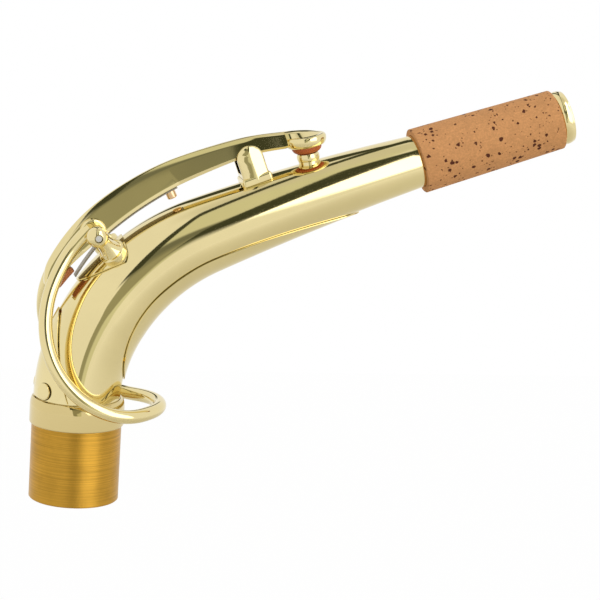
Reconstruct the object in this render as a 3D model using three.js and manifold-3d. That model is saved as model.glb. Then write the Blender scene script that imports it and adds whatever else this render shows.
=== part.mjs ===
// Alto saxophone neck with its octave key, in millimetres, +Z up.
// The origin is the centre of the tenon's lower end. The tube bends in the XZ plane towards +X,
// and its near side is -Y. Every piece is a closed solid of its own.
import * as THREE from 'three';
import { mergeVertices } from 'three/addons/utils/BufferGeometryUtils.js';
import Module from 'manifold-3d';

const wasm = await Module();
wasm.setup();

// Clearances between pieces that are soldered, glued or screwed together
const solderGap = 0.12;
const curvedSeatGap = 0.2;
const runningGap = 0.09;
const sideGap = 0.35;
const cutOverrun = 1;

// Tenon, and the collar that joins it to the tube
const tenonRadius = 12.2;
const tenonWall = 1;
const tenonLength = 24;
const tenonChamfer = 0.2;
const collarRadius = 12.85;
const collarBottom = 20.9;
const collarHeight = 7.3;
const collarShoulder = 0.85;
const collarShoulderHeight = 2.6;

// Bent tube: radii and turns of its arcs, then the straight part to the mouthpiece end.
// Stations along the tube are measured from the start of the bend.
const bendStart = 27.3;
const heelBend = { radius: 46.8, turn: -34.6 };
const mainBend = { radius: 55.7, turn: -31.9 };
const faintBend = { radius: 627, turn: -5.1 };
const straightLength = 50.8;
const tubeWall = 0.8;
const heelRadius = 11.5;
const coneRadius = 12.1;
const corkSeatRadius = 7.24;
const tipRadius = 6.8;
const coneSwell = 2.6;

// Mouthpiece cork and the ring at the tip
const corkLength = 40.7;
const corkRadius = 9;
const corkTipRadius = 8.3;
const corkRound = 0.5;
const tipRingRadius = 7.5;
const tipRingLength = 3.2;
const tipRingRound = 0.45;

// Plates that lie on the tube
const braceThickness = 0.75;
const braceStart = 7.9;
const braceEnd = 102.4;
const braceFullFrom = 40.4;
const braceFullTo = 55.4;
const braceHalfAngle = 60;
const backPlateThickness = 0.4;
const backPlateTop = 21;
const backPlateHalfAngle = 70;
const rivetRadius = 2.3;
const rivetHeight = 0.9;
const rivetStation = 3;
const rivetAngle = 34;
const pointPower = 0.6;
const saddleThickness = 0.9;
const saddleStart = 28;
const saddleEnd = 42;
const saddleCorner = 2.2;
const saddleHalfAngle = 45;
const plateBevel = 0.3;
const bluntShare = 0.02;

// Hinge of the octave key: two ball-headed posts and a rod between them
const hingeStation = 38.1;
const postSplay = 28.2;
const postReach = 19.8;
const ballRadius = 2.9;
const postNeckRadius = 1.85;
const postFootRadius = 2.9;
const postFlangeRadius = 3.7;
const postFlangeHeight = 0.8;
const rodRadius = 1.05;
const rodRecess = 0.35;
const hingeTubeRadius = 2;
const hingeEndGap = 0.25;

// Arm of the octave key: its tail, its length along the tube, its greatest gap and depth
const armTail = 23.8;
const armLength = 63.9;
const armGap = 6.6;
const armDepth = 7.7;
const armWidth = 4.4;
const armTopBevel = 1.15;
const armLowBevel = 0.75;
const armSteps = 34;

// Shape of the arm from the tail to the cup, in shares of its length, gap and depth
const armShape = [
  { along: 0, gap: 0.85, depth: 0.22 },
  { along: 0.02, gap: 0.76, depth: 0.44 },
  { along: 0.07, gap: 0.71, depth: 0.68 },
  { along: 0.22, gap: 0.57, depth: 1 },
  { along: 0.4, gap: 0.64, depth: 0.99 },
  { along: 0.62, gap: 0.86, depth: 0.83 },
  { along: 0.85, gap: 1, depth: 0.6 },
  { along: 1, gap: 0.86, depth: 0.55 },
];
const tongueWidth = 4.2;
const tongueThickness = 1;
const tongueReach = 3.4;
const tongueRoot = 7.4;

// Ring of the octave key: a wire that leaves the hinge, runs down the back of the tube and goes
// round the tenon's collar
const wireRadius = 1.85;
const legLift = 1.9;
const legArc = { radius: 40, turn: 26 };
const sweepArc = { radius: 25.2, turn: 112.3 };
const ringFrontLength = 5.4;
const ringHalfWidth = 16;
const ringNoseLength = 17.7;
const ringTaperLength = 49.8;
const ringTaperPower = 1.9;
const ringSkew = 5.7;
const lugRadius = 3.5;
const lugLift = 0.7;
const lugWidth = 2.7;

// Octave vent, pad cup and pad
const ventStation = 93;
const ventTilt = 7;
const ventHeight = 2.6;
const ventRadius = 3.1;
const ventRimRadius = 2.3;
const ventFootRadius = 2.85;
const ventFootHeight = 0.5;
const ventBoreRadius = 1;
const padRadius = 4.3;
const padFaceRadius = 3;
const padShowing = 1.9;
const cupRadius = 5.3;
const cupMouthRadius = 4.85;
const cupHeight = 3;
const cupWall = 0.6;
const cupRound = 0.8;

// Guide that keeps the arm over the vent
const guideStation = 77.8;
const guideLength = 7.2;
const guideTop = 9.6;
const guideFloor = 2.4;
const guideFootLength = 8.4;
const guideFootHeight = 1.3;
const cheekThickness = 1.9;
const cheekCrown = 0.9;

// Flat spring, its screw, and the cork bumper under the tail
const springThickness = 0.4;
const springWidth = 3.4;
const springTipWidth = 2.2;
const springTipStation = 29.4;
const springTipLift = 0.75;
const screwStation = 56;
const screwHeadRadius = 1.35;
const screwHeadHeight = 2;
const screwShankRadius = 0.7;
const screwShankLength = 2.4;
const bumperStart = 24.4;
const bumperEnd = 29.4;
const bumperThickness = 2.2;
const bumperWidth = 3.8;

// Numbers of faces
const tubeSides = 36;
const bendSteps = 20;
const wireSides = 7;
const ringNoseShare = 0.32;
const wireSteps = 60;
const smallSides = 20;
const plateColumns = 11;

const deg = Math.PI / 180;
const farAxis = new THREE.Vector3(0, 1, 0);
const nearAxis = new THREE.Vector3(0, -1, 0);

// Materials
const lacquer = new THREE.MeshStandardMaterial({ color: 0xd9c27a, roughness: 0.16, metalness: 1 });
const bareBrass = new THREE.MeshStandardMaterial({ color: 0xb9862f, roughness: 0.42, metalness: 1 });
const steel = new THREE.MeshStandardMaterial({ color: 0xb8b8b4, roughness: 0.25, metalness: 1 });
const springSteel = new THREE.MeshStandardMaterial({ color: 0x5f6266, roughness: 0.35, metalness: 1 });
const corkSkin = new THREE.MeshStandardMaterial({ color: 0xc98d55, roughness: 0.9, metalness: 0 });
const padLeather = new THREE.MeshStandardMaterial({ color: 0xa8481c, roughness: 0.7, metalness: 0 });

// A run of tangent arcs in the XZ plane; headings are measured from +X towards +Z.
class ArcRun {
  constructor(x, z, heading, arcs) {
    this.pieces = [];
    let place = { x, z, heading };
    for (const arc of arcs) {
      const turn = (arc.turn ?? 0) * deg;
      const length = arc.length ?? Math.abs(arc.radius * turn);
      this.pieces.push({ ...place, turn, length });
      place = ArcRun.along(this.pieces.at(-1), length);
    }
    this.length = this.pieces.reduce((sum, piece) => sum + piece.length, 0);
  }

  static along(piece, distance) {
    const turned = piece.turn * distance / piece.length;
    const half = turned / 2;
    const chord = half === 0 ? distance : distance * Math.sin(half) / half;
    return {
      x: piece.x + chord * Math.cos(piece.heading + half),
      z: piece.z + chord * Math.sin(piece.heading + half),
      heading: piece.heading + turned,
    };
  }

  at(distance) {
    let left = distance;
    for (const piece of this.pieces) {
      if (left <= piece.length) return left < 0 ? ArcRun.ahead(piece, left) : ArcRun.along(piece, left);
      left -= piece.length;
    }
    const last = this.pieces.at(-1);
    return ArcRun.ahead(ArcRun.along(last, last.length), left);
  }

  static ahead(place, distance) {
    return {
      x: place.x + distance * Math.cos(place.heading),
      z: place.z + distance * Math.sin(place.heading),
      heading: place.heading,
    };
  }
}

const neckRun = new ArcRun(0, bendStart, 90 * deg,
  [heelBend, mainBend, faintBend, { length: straightLength }]);
const neckEnd = neckRun.length;
const corkStart = neckEnd - tipRingLength - solderGap - corkLength;

// Outer radius of the tube at a distance along its centre line
function tubeRadiusAt(distance) {
  if (distance >= corkStart) {
    return THREE.MathUtils.lerp(corkSeatRadius, tipRadius, (distance - corkStart) / (neckEnd - corkStart));
  }
  const share = distance / corkStart;
  const cone = THREE.MathUtils.lerp(coneRadius, corkSeatRadius, share) + coneSwell * share * (1 - share);
  return share > 0 ? Math.min(cone, heelRadius) : heelRadius;
}

// Centre, direction and outward side of the tube at a distance along its centre line
function neckFrame(distance) {
  const place = neckRun.at(distance);
  const centre = new THREE.Vector3(place.x, 0, place.z);
  const along = new THREE.Vector3(Math.cos(place.heading), 0, Math.sin(place.heading));
  const out = new THREE.Vector3(-along.z, 0, along.x);
  return { centre, along, out };
}

// Point at a height above the centre line and a distance towards the far side
function neckPoint(distance, height, far = 0) {
  const { centre, out } = neckFrame(distance);
  return centre.addScaledVector(out, height).addScaledVector(farAxis, far);
}

// Point at a radius from the centre line; the angle is 0 on the outside of the bend
function aroundNeck(distance, radius, angle) {
  return neckPoint(distance, radius * Math.cos(angle), radius * Math.sin(angle));
}

// Frame that stands on the tube: +Y outward, +X along the tube, +Z to the near side
function standingFrame(distance, splay = 0, tilt = 0, height = 0) {
  const { along, out } = neckFrame(distance);
  const leaned = out.clone().multiplyScalar(Math.cos(tilt)).addScaledVector(along, Math.sin(tilt));
  const up = leaned.multiplyScalar(Math.cos(splay)).addScaledVector(nearAxis, Math.sin(splay));
  const side = along.clone().cross(up).normalize();
  const forward = up.clone().cross(side);
  return new THREE.Matrix4().makeBasis(forward, up, side).setPosition(neckPoint(distance, height));
}

// Geometry with shared vertices, no collapsed triangles, and its faces pointing out
function closed(geometry) {
  const bare = geometry.clone();
  for (const name of Object.keys(bare.attributes)) {
    if (name !== 'position') bare.deleteAttribute(name);
  }
  const merged = mergeVertices(bare, 1e-5 * tenonRadius);
  const corners = [];
  for (let i = 0; i < merged.index.count; i += 3) {
    const [a, b, c] = [0, 1, 2].map((k) => merged.index.getX(i + k));
    if (a !== b && b !== c && c !== a) corners.push(a, b, c);
  }
  merged.setIndex(corners);
  if (signedVolume(merged) < 0) merged.setIndex(corners.reverse());
  merged.computeVertexNormals();
  return merged;
}

function signedVolume(geometry) {
  const { index } = geometry;
  const place = geometry.attributes.position;
  const corner = [new THREE.Vector3(), new THREE.Vector3(), new THREE.Vector3()];
  let sum = 0;
  for (let i = 0; i < index.count; i += 3) {
    corner.forEach((vector, k) => vector.fromBufferAttribute(place, index.getX(i + k)));
    sum += corner[0].dot(corner[1].cross(corner[2]));
  }
  return sum / 6;
}

function toSolid(geometry) {
  const clean = closed(geometry);
  return new wasm.Manifold(new wasm.Mesh({
    numProp: 3,
    vertProperties: new Float32Array(clean.attributes.position.array),
    triVerts: new Uint32Array(clean.index.array),
  }));
}

function toGeometry(solid) {
  const mesh = solid.getMesh();
  const geometry = new THREE.BufferGeometry();
  geometry.setAttribute('position', new THREE.BufferAttribute(mesh.vertProperties, 3));
  geometry.setIndex([...mesh.triVerts]);
  geometry.computeVertexNormals();
  return geometry;
}

function fused(...geometries) {
  return toGeometry(geometries.map(toSolid).reduce((sum, solid) => sum.add(solid)));
}

function without(geometry, ...cutters) {
  const tools = cutters.map(toSolid);
  return toGeometry(tools.reduce((left, tool) => left.subtract(tool), toSolid(geometry)));
}

// Closed skin over rings of equal count; caps lists the triangles that close each end
function loft(rings, caps) {
  const count = rings[0].length;
  const corners = [];
  for (let i = 0; i + 1 < rings.length; i += 1) {
    for (let j = 0; j < count; j += 1) {
      const next = (j + 1) % count;
      const low = i * count;
      const high = low + count;
      corners.push(low + j, low + next, high + next, low + j, high + next, high + j);
    }
  }
  const fan = caps ?? Array.from({ length: count - 2 }, (_, j) => [0, j + 1, j + 2]);
  const last = (rings.length - 1) * count;
  for (const [a, b, c] of fan) {
    corners.push(a, c, b, last + a, last + b, last + c);
  }
  const geometry = new THREE.BufferGeometry().setFromPoints(rings.flat());
  geometry.setIndex(corners);
  return closed(geometry);
}

// Body of revolution about +Y from [radius, height] pairs
function turned(profile, sides) {
  const points = profile.map(([radius, height]) => new THREE.Vector2(radius, height));
  return new THREE.LatheGeometry(points, sides);
}

// Body of revolution made straight along +Y, then bent to follow the tube
function turnedAlongNeck(profile, sides) {
  const geometry = turned(profile, sides);
  const place = geometry.attributes.position;
  for (let i = 0; i < place.count; i += 1) {
    const bent = neckPoint(place.getY(i), place.getX(i), place.getZ(i));
    place.setXYZ(i, bent.x, bent.y, bent.z);
  }
  return closed(geometry);
}

// Distances along the tube, evenly spaced with each end included
function spaced(from, to, steps) {
  return Array.from({ length: steps + 1 }, (_, i) => THREE.MathUtils.lerp(from, to, i / steps));
}

// Solid tube without its bore, grown by a clearance, for cutting feet that stand on it
function neckCore(clearance, from, to) {
  const skin = spaced(from, to, bendSteps).map((at) => [tubeRadiusAt(at) + clearance, at]);
  return turnedAlongNeck([[0, from], ...skin, [0, to]], tubeSides);
}

// Plate that lies on the tube, with a half width that changes along it
function plateOnNeck({ stations, middle, halfAngleAt, lift, thickness }) {
  const rings = stations.map((at) => {
    const half = halfAngleAt(at) * deg;
    const seat = tubeRadiusAt(at) + lift;
    const bevel = Math.min(plateBevel / seat, half / 4);
    const rim = seat + thickness - Math.min(plateBevel, thickness / 2);
    const outer = spaced(-(half - bevel), half - bevel, plateColumns)
      .map((angle) => aroundNeck(at, seat + thickness, middle + angle));
    const inner = spaced(half, -half, plateColumns).map((angle) => aroundNeck(at, seat, middle + angle));
    return [aroundNeck(at, rim, middle - half), ...outer, aroundNeck(at, rim, middle + half), ...inner];
  });
  const across = plateColumns + 2;
  const last = rings[0].length - 1;
  const caps = [[0, 1, last], [across - 1, across, across + 1]];
  for (let j = 1; j < across - 1; j += 1) {
    caps.push([j, j + 1, last - j + 1], [j + 1, last - j, last - j + 1]);
  }
  return loft(rings, caps);
}

// Share of the full width at a distance from the end of a plate: an ellipse, or an arrow's point
function roundedEnd(distance, length) {
  const share = THREE.MathUtils.clamp(1 - distance / length, 0, 1);
  return Math.max(Math.sqrt(1 - share * share), bluntShare);
}

function pointedEnd(distance, length) {
  return Math.max(THREE.MathUtils.clamp(distance / length, 0, 1) ** pointPower, bluntShare);
}

function makeTenon() {
  const inside = tenonRadius - tenonWall;
  return turned([
    [inside + tenonChamfer, 0],
    [tenonRadius - tenonChamfer, 0],
    [tenonRadius, tenonChamfer],
    [tenonRadius, tenonLength],
    [inside, tenonLength],
    [inside, tenonChamfer],
    [inside + tenonChamfer, 0],
  ], tubeSides);
}

function makeCollar() {
  const inside = tenonRadius + solderGap;
  const lip = heelRadius + solderGap;
  const top = collarBottom + collarHeight;
  const shoulder = spaced(0, 90, 4).map((angle) => [
    collarRadius - collarShoulder * (1 - Math.cos(angle * deg)),
    top - collarShoulderHeight * (1 - Math.sin(angle * deg)),
  ]);
  return turned([
    [inside, collarBottom],
    [collarRadius - plateBevel, collarBottom],
    [collarRadius, collarBottom + plateBevel],
    ...shoulder,
    [lip, top],
    [lip, tenonLength + solderGap],
    [inside, tenonLength + solderGap],
    [inside, collarBottom],
  ], tubeSides);
}

function makeTube() {
  const foot = tenonLength - bendStart;
  const stations = [foot, ...spaced(0, neckEnd - straightLength, bendSteps), corkStart, neckEnd];
  const outside = stations.map((at) => [tubeRadiusAt(at), at]);
  const inside = stations.map((at) => [tubeRadiusAt(at) - tubeWall, at]).reverse();
  const shell = turnedAlongNeck([...outside, ...inside, outside[0]], tubeSides);
  const boreLength = 2 * tubeWall + cutOverrun;
  const bore = new THREE.CylinderGeometry(ventBoreRadius, ventBoreRadius, boreLength, smallSides);
  bore.applyMatrix4(standingFrame(ventStation, 0, ventTilt * deg, tubeRadiusAt(ventStation)));
  return without(shell, bore);
}

function makeCork() {
  const end = corkStart + corkLength;
  const radiusAt = (at) => THREE.MathUtils.lerp(corkRadius, corkTipRadius, (at - corkStart) / corkLength);
  const skin = [corkStart + corkRound, end - corkRound].map((at) => [radiusAt(at), at]);
  const seat = [end, corkStart].map((at) => [tubeRadiusAt(at) + solderGap, at]);
  return turnedAlongNeck([
    [corkRadius - corkRound, corkStart],
    ...skin,
    [corkTipRadius - corkRound, end],
    ...seat,
    [corkRadius - corkRound, corkStart],
  ], tubeSides);
}

function makeTipRing() {
  const start = neckEnd - tipRingLength;
  const inside = tipRadius + solderGap;
  const startInside = tubeRadiusAt(start) + solderGap;
  return turnedAlongNeck([
    [startInside, start],
    [tipRingRadius - tipRingRound, start],
    [tipRingRadius, start + tipRingRound],
    [tipRingRadius, neckEnd - tipRingRound],
    [tipRingRadius - tipRingRound, neckEnd],
    [inside, neckEnd],
    [startInside, start],
  ], tubeSides);
}

function makeUnderbrace() {
  const widening = braceFullFrom - braceStart;
  const narrowing = braceEnd - braceFullTo;
  const stations = [
    ...[0, 0.02, 0.08, 0.2, 0.38, 0.6, 0.8].map((share) => braceStart + share * widening),
    ...spaced(braceFullFrom, braceFullTo, 4),
    ...[0.2, 0.4, 0.6, 0.78, 0.9, 0.98, 1].map((share) => braceFullTo + share * narrowing),
  ];
  return plateOnNeck({
    stations,
    middle: 180 * deg,
    halfAngleAt: (at) => braceHalfAngle
      * roundedEnd(at - braceStart, widening) * roundedEnd(braceEnd - at, narrowing),
    lift: solderGap,
    thickness: braceThickness,
  });
}

function makeBackPlate() {
  const bottom = collarBottom + collarHeight + curvedSeatGap - bendStart;
  const length = backPlateTop - bottom;
  return plateOnNeck({
    stations: [0, 0.2, 0.4, 0.58, 0.73, 0.85, 0.93, 0.98, 1].map((share) => bottom + share * length),
    middle: 0,
    halfAngleAt: (at) => backPlateHalfAngle * pointedEnd(backPlateTop - at, length),
    lift: solderGap,
    thickness: backPlateThickness,
  });
}

function makeRivet(side) {
  const seat = heelRadius + solderGap + backPlateThickness;
  const chord = seat * Math.cos(rivetRadius / seat);
  const dome = spaced(0, 90, 4).map((angle) => [
    rivetRadius * Math.cos(angle * deg),
    seat + rivetHeight * Math.sin(angle * deg),
  ]);
  const head = turned([[0, chord], [rivetRadius, chord], ...dome], smallSides);
  head.applyMatrix4(standingFrame(rivetStation, side * rivetAngle * deg));
  const bed = neckCore(solderGap + backPlateThickness + curvedSeatGap, -cutOverrun, backPlateTop);
  return without(head, bed);
}

function saddleHalfAngleAt(at) {
  const pointed = pointedEnd(at - saddleStart, saddleEnd - saddleCorner - saddleStart);
  return saddleHalfAngle * pointed * roundedEnd(saddleEnd - at, saddleCorner);
}

function makeSaddle() {
  const length = saddleEnd - saddleStart;
  const shares = [0, 0.03, 0.08, 0.16, 0.28, 0.42, 0.56, 0.7, 0.84, 0.9, 0.95, 0.98, 1];
  return plateOnNeck({
    stations: shares.map((share) => saddleStart + share * length),
    middle: 0,
    halfAngleAt: saddleHalfAngleAt,
    lift: solderGap,
    thickness: saddleThickness,
  });
}

// Place of the hinge: height of its axis above the centre line, and how far out the balls stand
const hingeHeight = postReach * Math.cos(postSplay * deg);
const ballSide = postReach * Math.sin(postSplay * deg);
const hingePoint = neckPoint(hingeStation, hingeHeight);

// Cylinder along Y, centred on the hinge axis and shifted sideways
function hingeCylinder(radius, length, far = 0, sides = smallSides) {
  const cylinder = new THREE.CylinderGeometry(radius, radius, length, sides);
  return cylinder.translate(hingePoint.x, far, hingePoint.z);
}

function makePost(side) {
  const seat = tubeRadiusAt(hingeStation) + solderGap + saddleThickness;
  const flangeTop = seat + curvedSeatGap + postFlangeHeight;
  const neck = postReach - ballRadius;
  const ball = spaced(140, 0, 7).map((angle) => [
    ballRadius * Math.sin(angle * deg),
    postReach + ballRadius * Math.cos(angle * deg),
  ]);
  const post = turned([
    [0, seat - cutOverrun - postFlangeHeight],
    [postFlangeRadius, seat - cutOverrun - postFlangeHeight],
    [postFlangeRadius, flangeTop - plateBevel],
    [postFlangeRadius - plateBevel, flangeTop],
    [postFootRadius, flangeTop],
    [postFootRadius - plateBevel, flangeTop + postFlangeHeight],
    [postNeckRadius, neck],
    ...ball,
  ], smallSides);
  post.applyMatrix4(standingFrame(hingeStation, side * postSplay * deg));
  const reach = postFlangeRadius + cutOverrun;
  const lift = solderGap + saddleThickness + curvedSeatGap;
  const bed = neckCore(lift, hingeStation - reach, hingeStation + reach);
  const hole = hingeCylinder(rodRadius + runningGap, 4 * ballSide);
  return without(post, bed, hole);
}

function makeHingeRod() {
  return hingeCylinder(rodRadius, 2 * (ballSide + ballRadius - rodRecess));
}

function makeHingeTube() {
  const inside = rodRadius + runningGap;
  const half = ballSide - ballRadius - hingeEndGap;
  const tube = turned([
    [inside, -half],
    [hingeTubeRadius, -half],
    [hingeTubeRadius, half],
    [inside, half],
    [inside, -half],
  ], smallSides);
  return closed(tube).translate(hingePoint.x, 0, hingePoint.z);
}

// Lower and upper edge of the arm, as heights above the tube's centre line
function armEdge(riseAt) {
  return new THREE.SplineCurve(armShape.map((share) => {
    const station = armTail + share.along * armLength;
    return new THREE.Vector2(station, tubeRadiusAt(station) + riseAt(share));
  }));
}

const armLowEdge = armEdge(({ gap }) => gap * armGap);
const armTopEdge = armEdge(({ gap, depth }) => gap * armGap + depth * armDepth);

// Height of the arm's underside at a distance along the tube
function armUndersideAt(distance) {
  const samples = armLowEdge.getPoints(3 * armSteps);
  const next = samples.findIndex((point) => point.x >= distance);
  const [before, after] = [samples[next - 1], samples[next]];
  return THREE.MathUtils.mapLinear(distance, before.x, after.x, before.y, after.y);
}

// Bar of the arm: bevelled sections between its two edges
function makeArmBar() {
  const half = armWidth / 2;
  const rings = spaced(0, 1, armSteps).map((share) => {
    const low = armLowEdge.getPoint(share);
    const top = armTopEdge.getPoint(share);
    const depth = top.distanceTo(low);
    const topBevel = Math.min(armTopBevel, depth / 3) / depth;
    const lowBevel = Math.min(armLowBevel, depth / 4) / depth;
    const outline = [
      [0, -(half - armLowBevel)], [0, half - armLowBevel], [lowBevel, half], [1 - topBevel, half],
      [1 - topBevel / 3, half - armTopBevel / 3], [1, half - armTopBevel],
      [1, -(half - armTopBevel)], [1 - topBevel / 3, -(half - armTopBevel / 3)],
      [1 - topBevel, -half], [lowBevel, -half],
    ];
    return outline.map(([rise, far]) => {
      const edge = low.clone().lerp(top, rise);
      return neckPoint(edge.x, edge.y, far);
    });
  });
  return loft(rings);
}

// Frame on the vent's axis, with its origin where the pad meets the vent
function padFrame(lift) {
  const frame = standingFrame(ventStation, 0, ventTilt * deg, tubeRadiusAt(ventStation));
  return frame.multiply(new THREE.Matrix4().makeTranslation(0, ventHeight + lift, 0));
}

// Tongue at the arm's end that lies on the pad cup
function makeTongue() {
  const half = tongueWidth / 2;
  const outline = new THREE.Shape();
  outline.moveTo(-tongueRoot, -half);
  outline.lineTo(tongueReach - half, -half);
  outline.absarc(tongueReach - half, 0, half, -90 * deg, 90 * deg, false);
  outline.lineTo(-tongueRoot, half);
  outline.closePath();
  const tongue = new THREE.ExtrudeGeometry(outline, {
    depth: tongueThickness,
    curveSegments: 8,
    bevelEnabled: false,
  });
  tongue.rotateX(-90 * deg);
  return tongue.applyMatrix4(padFrame(padShowing + cupHeight + solderGap));
}

function screwCylinder(radius, from, to) {
  const cylinder = new THREE.CylinderGeometry(radius, radius, to - from, smallSides);
  cylinder.translate(0, (from + to) / 2, 0);
  return cylinder.applyMatrix4(standingFrame(screwStation, 0, 0, armUndersideAt(screwStation)));
}

function makeArm() {
  const bar = fused(makeArmBar(), makeTongue());
  const hingeHole = hingeCylinder(hingeTubeRadius + solderGap, 2 * armWidth);
  const screwHole = screwCylinder(screwShankRadius + solderGap, -cutOverrun, screwShankLength + solderGap);
  return without(bar, hingeHole, screwHole);
}

// Path of the ring's wire, from the near lug round the tenon to the far lug
const legSide = armWidth / 2 + sideGap / 2 + wireRadius;
const legStart = neckPoint(hingeStation, hingeHeight + legLift);
const legHeading = neckRun.at(hingeStation).heading + 180 * deg;
const sideRun = new ArcRun(legStart.x, legStart.z, legHeading,
  [legArc, sweepArc, { length: ringFrontLength }]);

// Half width of the ring at a distance back from its front, along its side view
function ringHalfWidthAt(fromFront) {
  if (fromFront < ringNoseLength) {
    const share = 1 - fromFront / ringNoseLength;
    return ringHalfWidth * Math.sqrt(Math.max(1 - share * share, 0));
  }
  const share = Math.min((fromFront - ringNoseLength) / ringTaperLength, 1);
  return legSide + (ringHalfWidth - legSide) * (1 - share * share) ** ringTaperPower;
}

// The nose of the ring is stepped by angle, so that its front is round
class RingPath extends THREE.Curve {
  getPoint(share) {
    const fromMiddle = Math.abs(2 * share - 1);
    const side = share < 0.5 ? -1 : 1;
    const fromFront = fromMiddle < ringNoseShare
      ? ringNoseLength * (1 - Math.cos(90 * deg * fromMiddle / ringNoseShare))
      : THREE.MathUtils.mapLinear(fromMiddle, ringNoseShare, 1, ringNoseLength, sideRun.length);
    const fromLug = sideRun.length - fromFront;
    const place = sideRun.at(fromLug);
    const far = side * ringHalfWidthAt(fromFront);
    const skew = ringSkew * deg * THREE.MathUtils.smoothstep(fromLug, 0, legArc.radius);
    const pivot = legStart.x - legArc.radius / 4;
    return new THREE.Vector3(
      pivot + (place.x - pivot) * Math.cos(skew) + far * Math.sin(skew),
      far * Math.cos(skew) - (place.x - pivot) * Math.sin(skew),
      place.z,
    );
  }
}

function makeRing() {
  const section = new THREE.Shape().absarc(0, 0, wireRadius, 0, 360 * deg);
  const wire = new THREE.ExtrudeGeometry(section, {
    steps: wireSteps,
    curveSegments: wireSides,
    extrudePath: new RingPath(),
    bevelEnabled: false,
  });
  const lugCentre = neckPoint(hingeStation, hingeHeight + lugLift);
  const lugSide = (armWidth + sideGap + lugWidth) / 2;
  const lugs = [-1, 1].map((side) => {
    const lug = new THREE.CylinderGeometry(lugRadius, lugRadius, lugWidth, smallSides);
    return lug.translate(lugCentre.x, side * lugSide, lugCentre.z);
  });
  const hingeHole = hingeCylinder(hingeTubeRadius + solderGap, 4 * ballSide);
  return without(fused(wire, ...lugs), hingeHole);
}

function makeVent() {
  const bury = tubeRadiusAt(ventStation) / 2;
  const barrel = turned([
    [ventBoreRadius, -bury],
    [ventFootRadius, -bury],
    [ventFootRadius, ventFootHeight],
    [ventFootRadius - plateBevel, ventFootHeight],
    [ventRadius - plateBevel / 2, ventFootHeight + 2 * plateBevel],
    [ventRadius, ventHeight / 2 + plateBevel],
    [ventRadius - plateBevel, ventHeight - plateBevel],
    [ventRimRadius, ventHeight],
    [ventBoreRadius, ventHeight],
    [ventBoreRadius, -bury],
  ], smallSides);
  barrel.applyMatrix4(standingFrame(ventStation, 0, ventTilt * deg, tubeRadiusAt(ventStation)));
  const reach = ventFootRadius + cutOverrun;
  return without(barrel, neckCore(solderGap, ventStation - reach, ventStation + reach));
}

function makePad() {
  const inside = padShowing + cupHeight - cupWall - solderGap;
  const bulge = spaced(0, 90, 4).map((angle) => [
    padFaceRadius + (padRadius - padFaceRadius) * Math.sin(angle * deg),
    solderGap + (padShowing - solderGap) * (1 - Math.cos(angle * deg)),
  ]);
  return turned([[0, solderGap], ...bulge, [padRadius, inside], [0, inside]], smallSides)
    .applyMatrix4(padFrame(0));
}

function makeCup() {
  const inside = padRadius + solderGap;
  const roof = cupHeight - cupWall;
  const shoulder = spaced(0, 90, 4).map((angle) => [
    cupRadius - cupRound * (1 - Math.cos(angle * deg)),
    cupHeight - cupRound * (1 - Math.sin(angle * deg)),
  ]);
  return turned([
    [0, roof],
    [inside, roof],
    [inside, 0],
    [cupMouthRadius, 0],
    ...shoulder,
    [0, cupHeight],
  ], smallSides + 8).applyMatrix4(padFrame(padShowing));
}

// Arch outline of a cheek: straight sides and a round top, drawn at a share of its size
function cheekRing(share, side, away) {
  const half = guideLength / 2;
  const shrink = half * (1 - share);
  const low = -guideFootHeight;
  const arch = spaced(0, 180, 10).map((angle) => [
    (half - shrink) * Math.cos(angle * deg),
    guideTop - half + (half - shrink) * Math.sin(angle * deg),
  ]);
  const outline = [[-(half - shrink), low], [half - shrink, low], ...arch];
  return outline.map(([x, y]) => new THREE.Vector3(x, y, side * away));
}

function makeGuide() {
  const inner = armWidth / 2 + sideGap;
  const outer = inner + cheekThickness;
  const cheeks = [-1, 1].map((side) => loft([
    cheekRing(1, side, inner),
    cheekRing(1, side, outer - cheekCrown),
    cheekRing(0.8, side, outer - cheekCrown / 3),
    cheekRing(0.45, side, outer),
  ]));
  const floor = new THREE.BoxGeometry(guideLength, 2 * guideFloor, 2 * inner + cheekThickness);
  const foot = new THREE.BoxGeometry(guideFootLength, guideFootHeight + guideFloor, 2 * outer);
  foot.translate(0, (guideFootHeight - guideFloor) / 2, 0);
  const guide = fused(...cheeks, floor, foot);
  guide.applyMatrix4(standingFrame(guideStation, 0, 0, tubeRadiusAt(guideStation)));
  const reach = guideFootLength / 2 + cutOverrun;
  return without(guide, neckCore(solderGap, guideStation - reach, guideStation + reach));
}

// Strip between two heights above the centre line, at stations along the tube
function stripAlongNeck(stations) {
  return loft(stations.map(({ at, low, high, width }) => [
    neckPoint(at, low, -width / 2),
    neckPoint(at, low, width / 2),
    neckPoint(at, high, width / 2),
    neckPoint(at, high, -width / 2),
  ]));
}

function makeSpring() {
  const root = screwStation + springWidth / 2;
  const tipHeight = tubeRadiusAt(springTipStation) + solderGap + saddleThickness + springTipLift;
  const leave = hingeStation + hingeTubeRadius;
  const leaveHeight = armUndersideAt(leave) - solderGap - springThickness;
  const underArm = spaced(root, leave, 8).map((at) => ({
    at,
    low: armUndersideAt(at) - solderGap - springThickness,
  }));
  const freeEnd = spaced(leave, springTipStation, 6).slice(1).map((at) => ({
    at,
    low: THREE.MathUtils.mapLinear(at, leave, springTipStation, leaveHeight, tipHeight),
  }));
  const strip = stripAlongNeck([...underArm, ...freeEnd].map(({ at, low }) => ({
    at,
    low,
    high: low + springThickness,
    width: THREE.MathUtils.mapLinear(at, root, springTipStation, springWidth, springTipWidth),
  })));
  return without(strip, screwCylinder(screwShankRadius + solderGap, -springWidth, springWidth));
}

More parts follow.
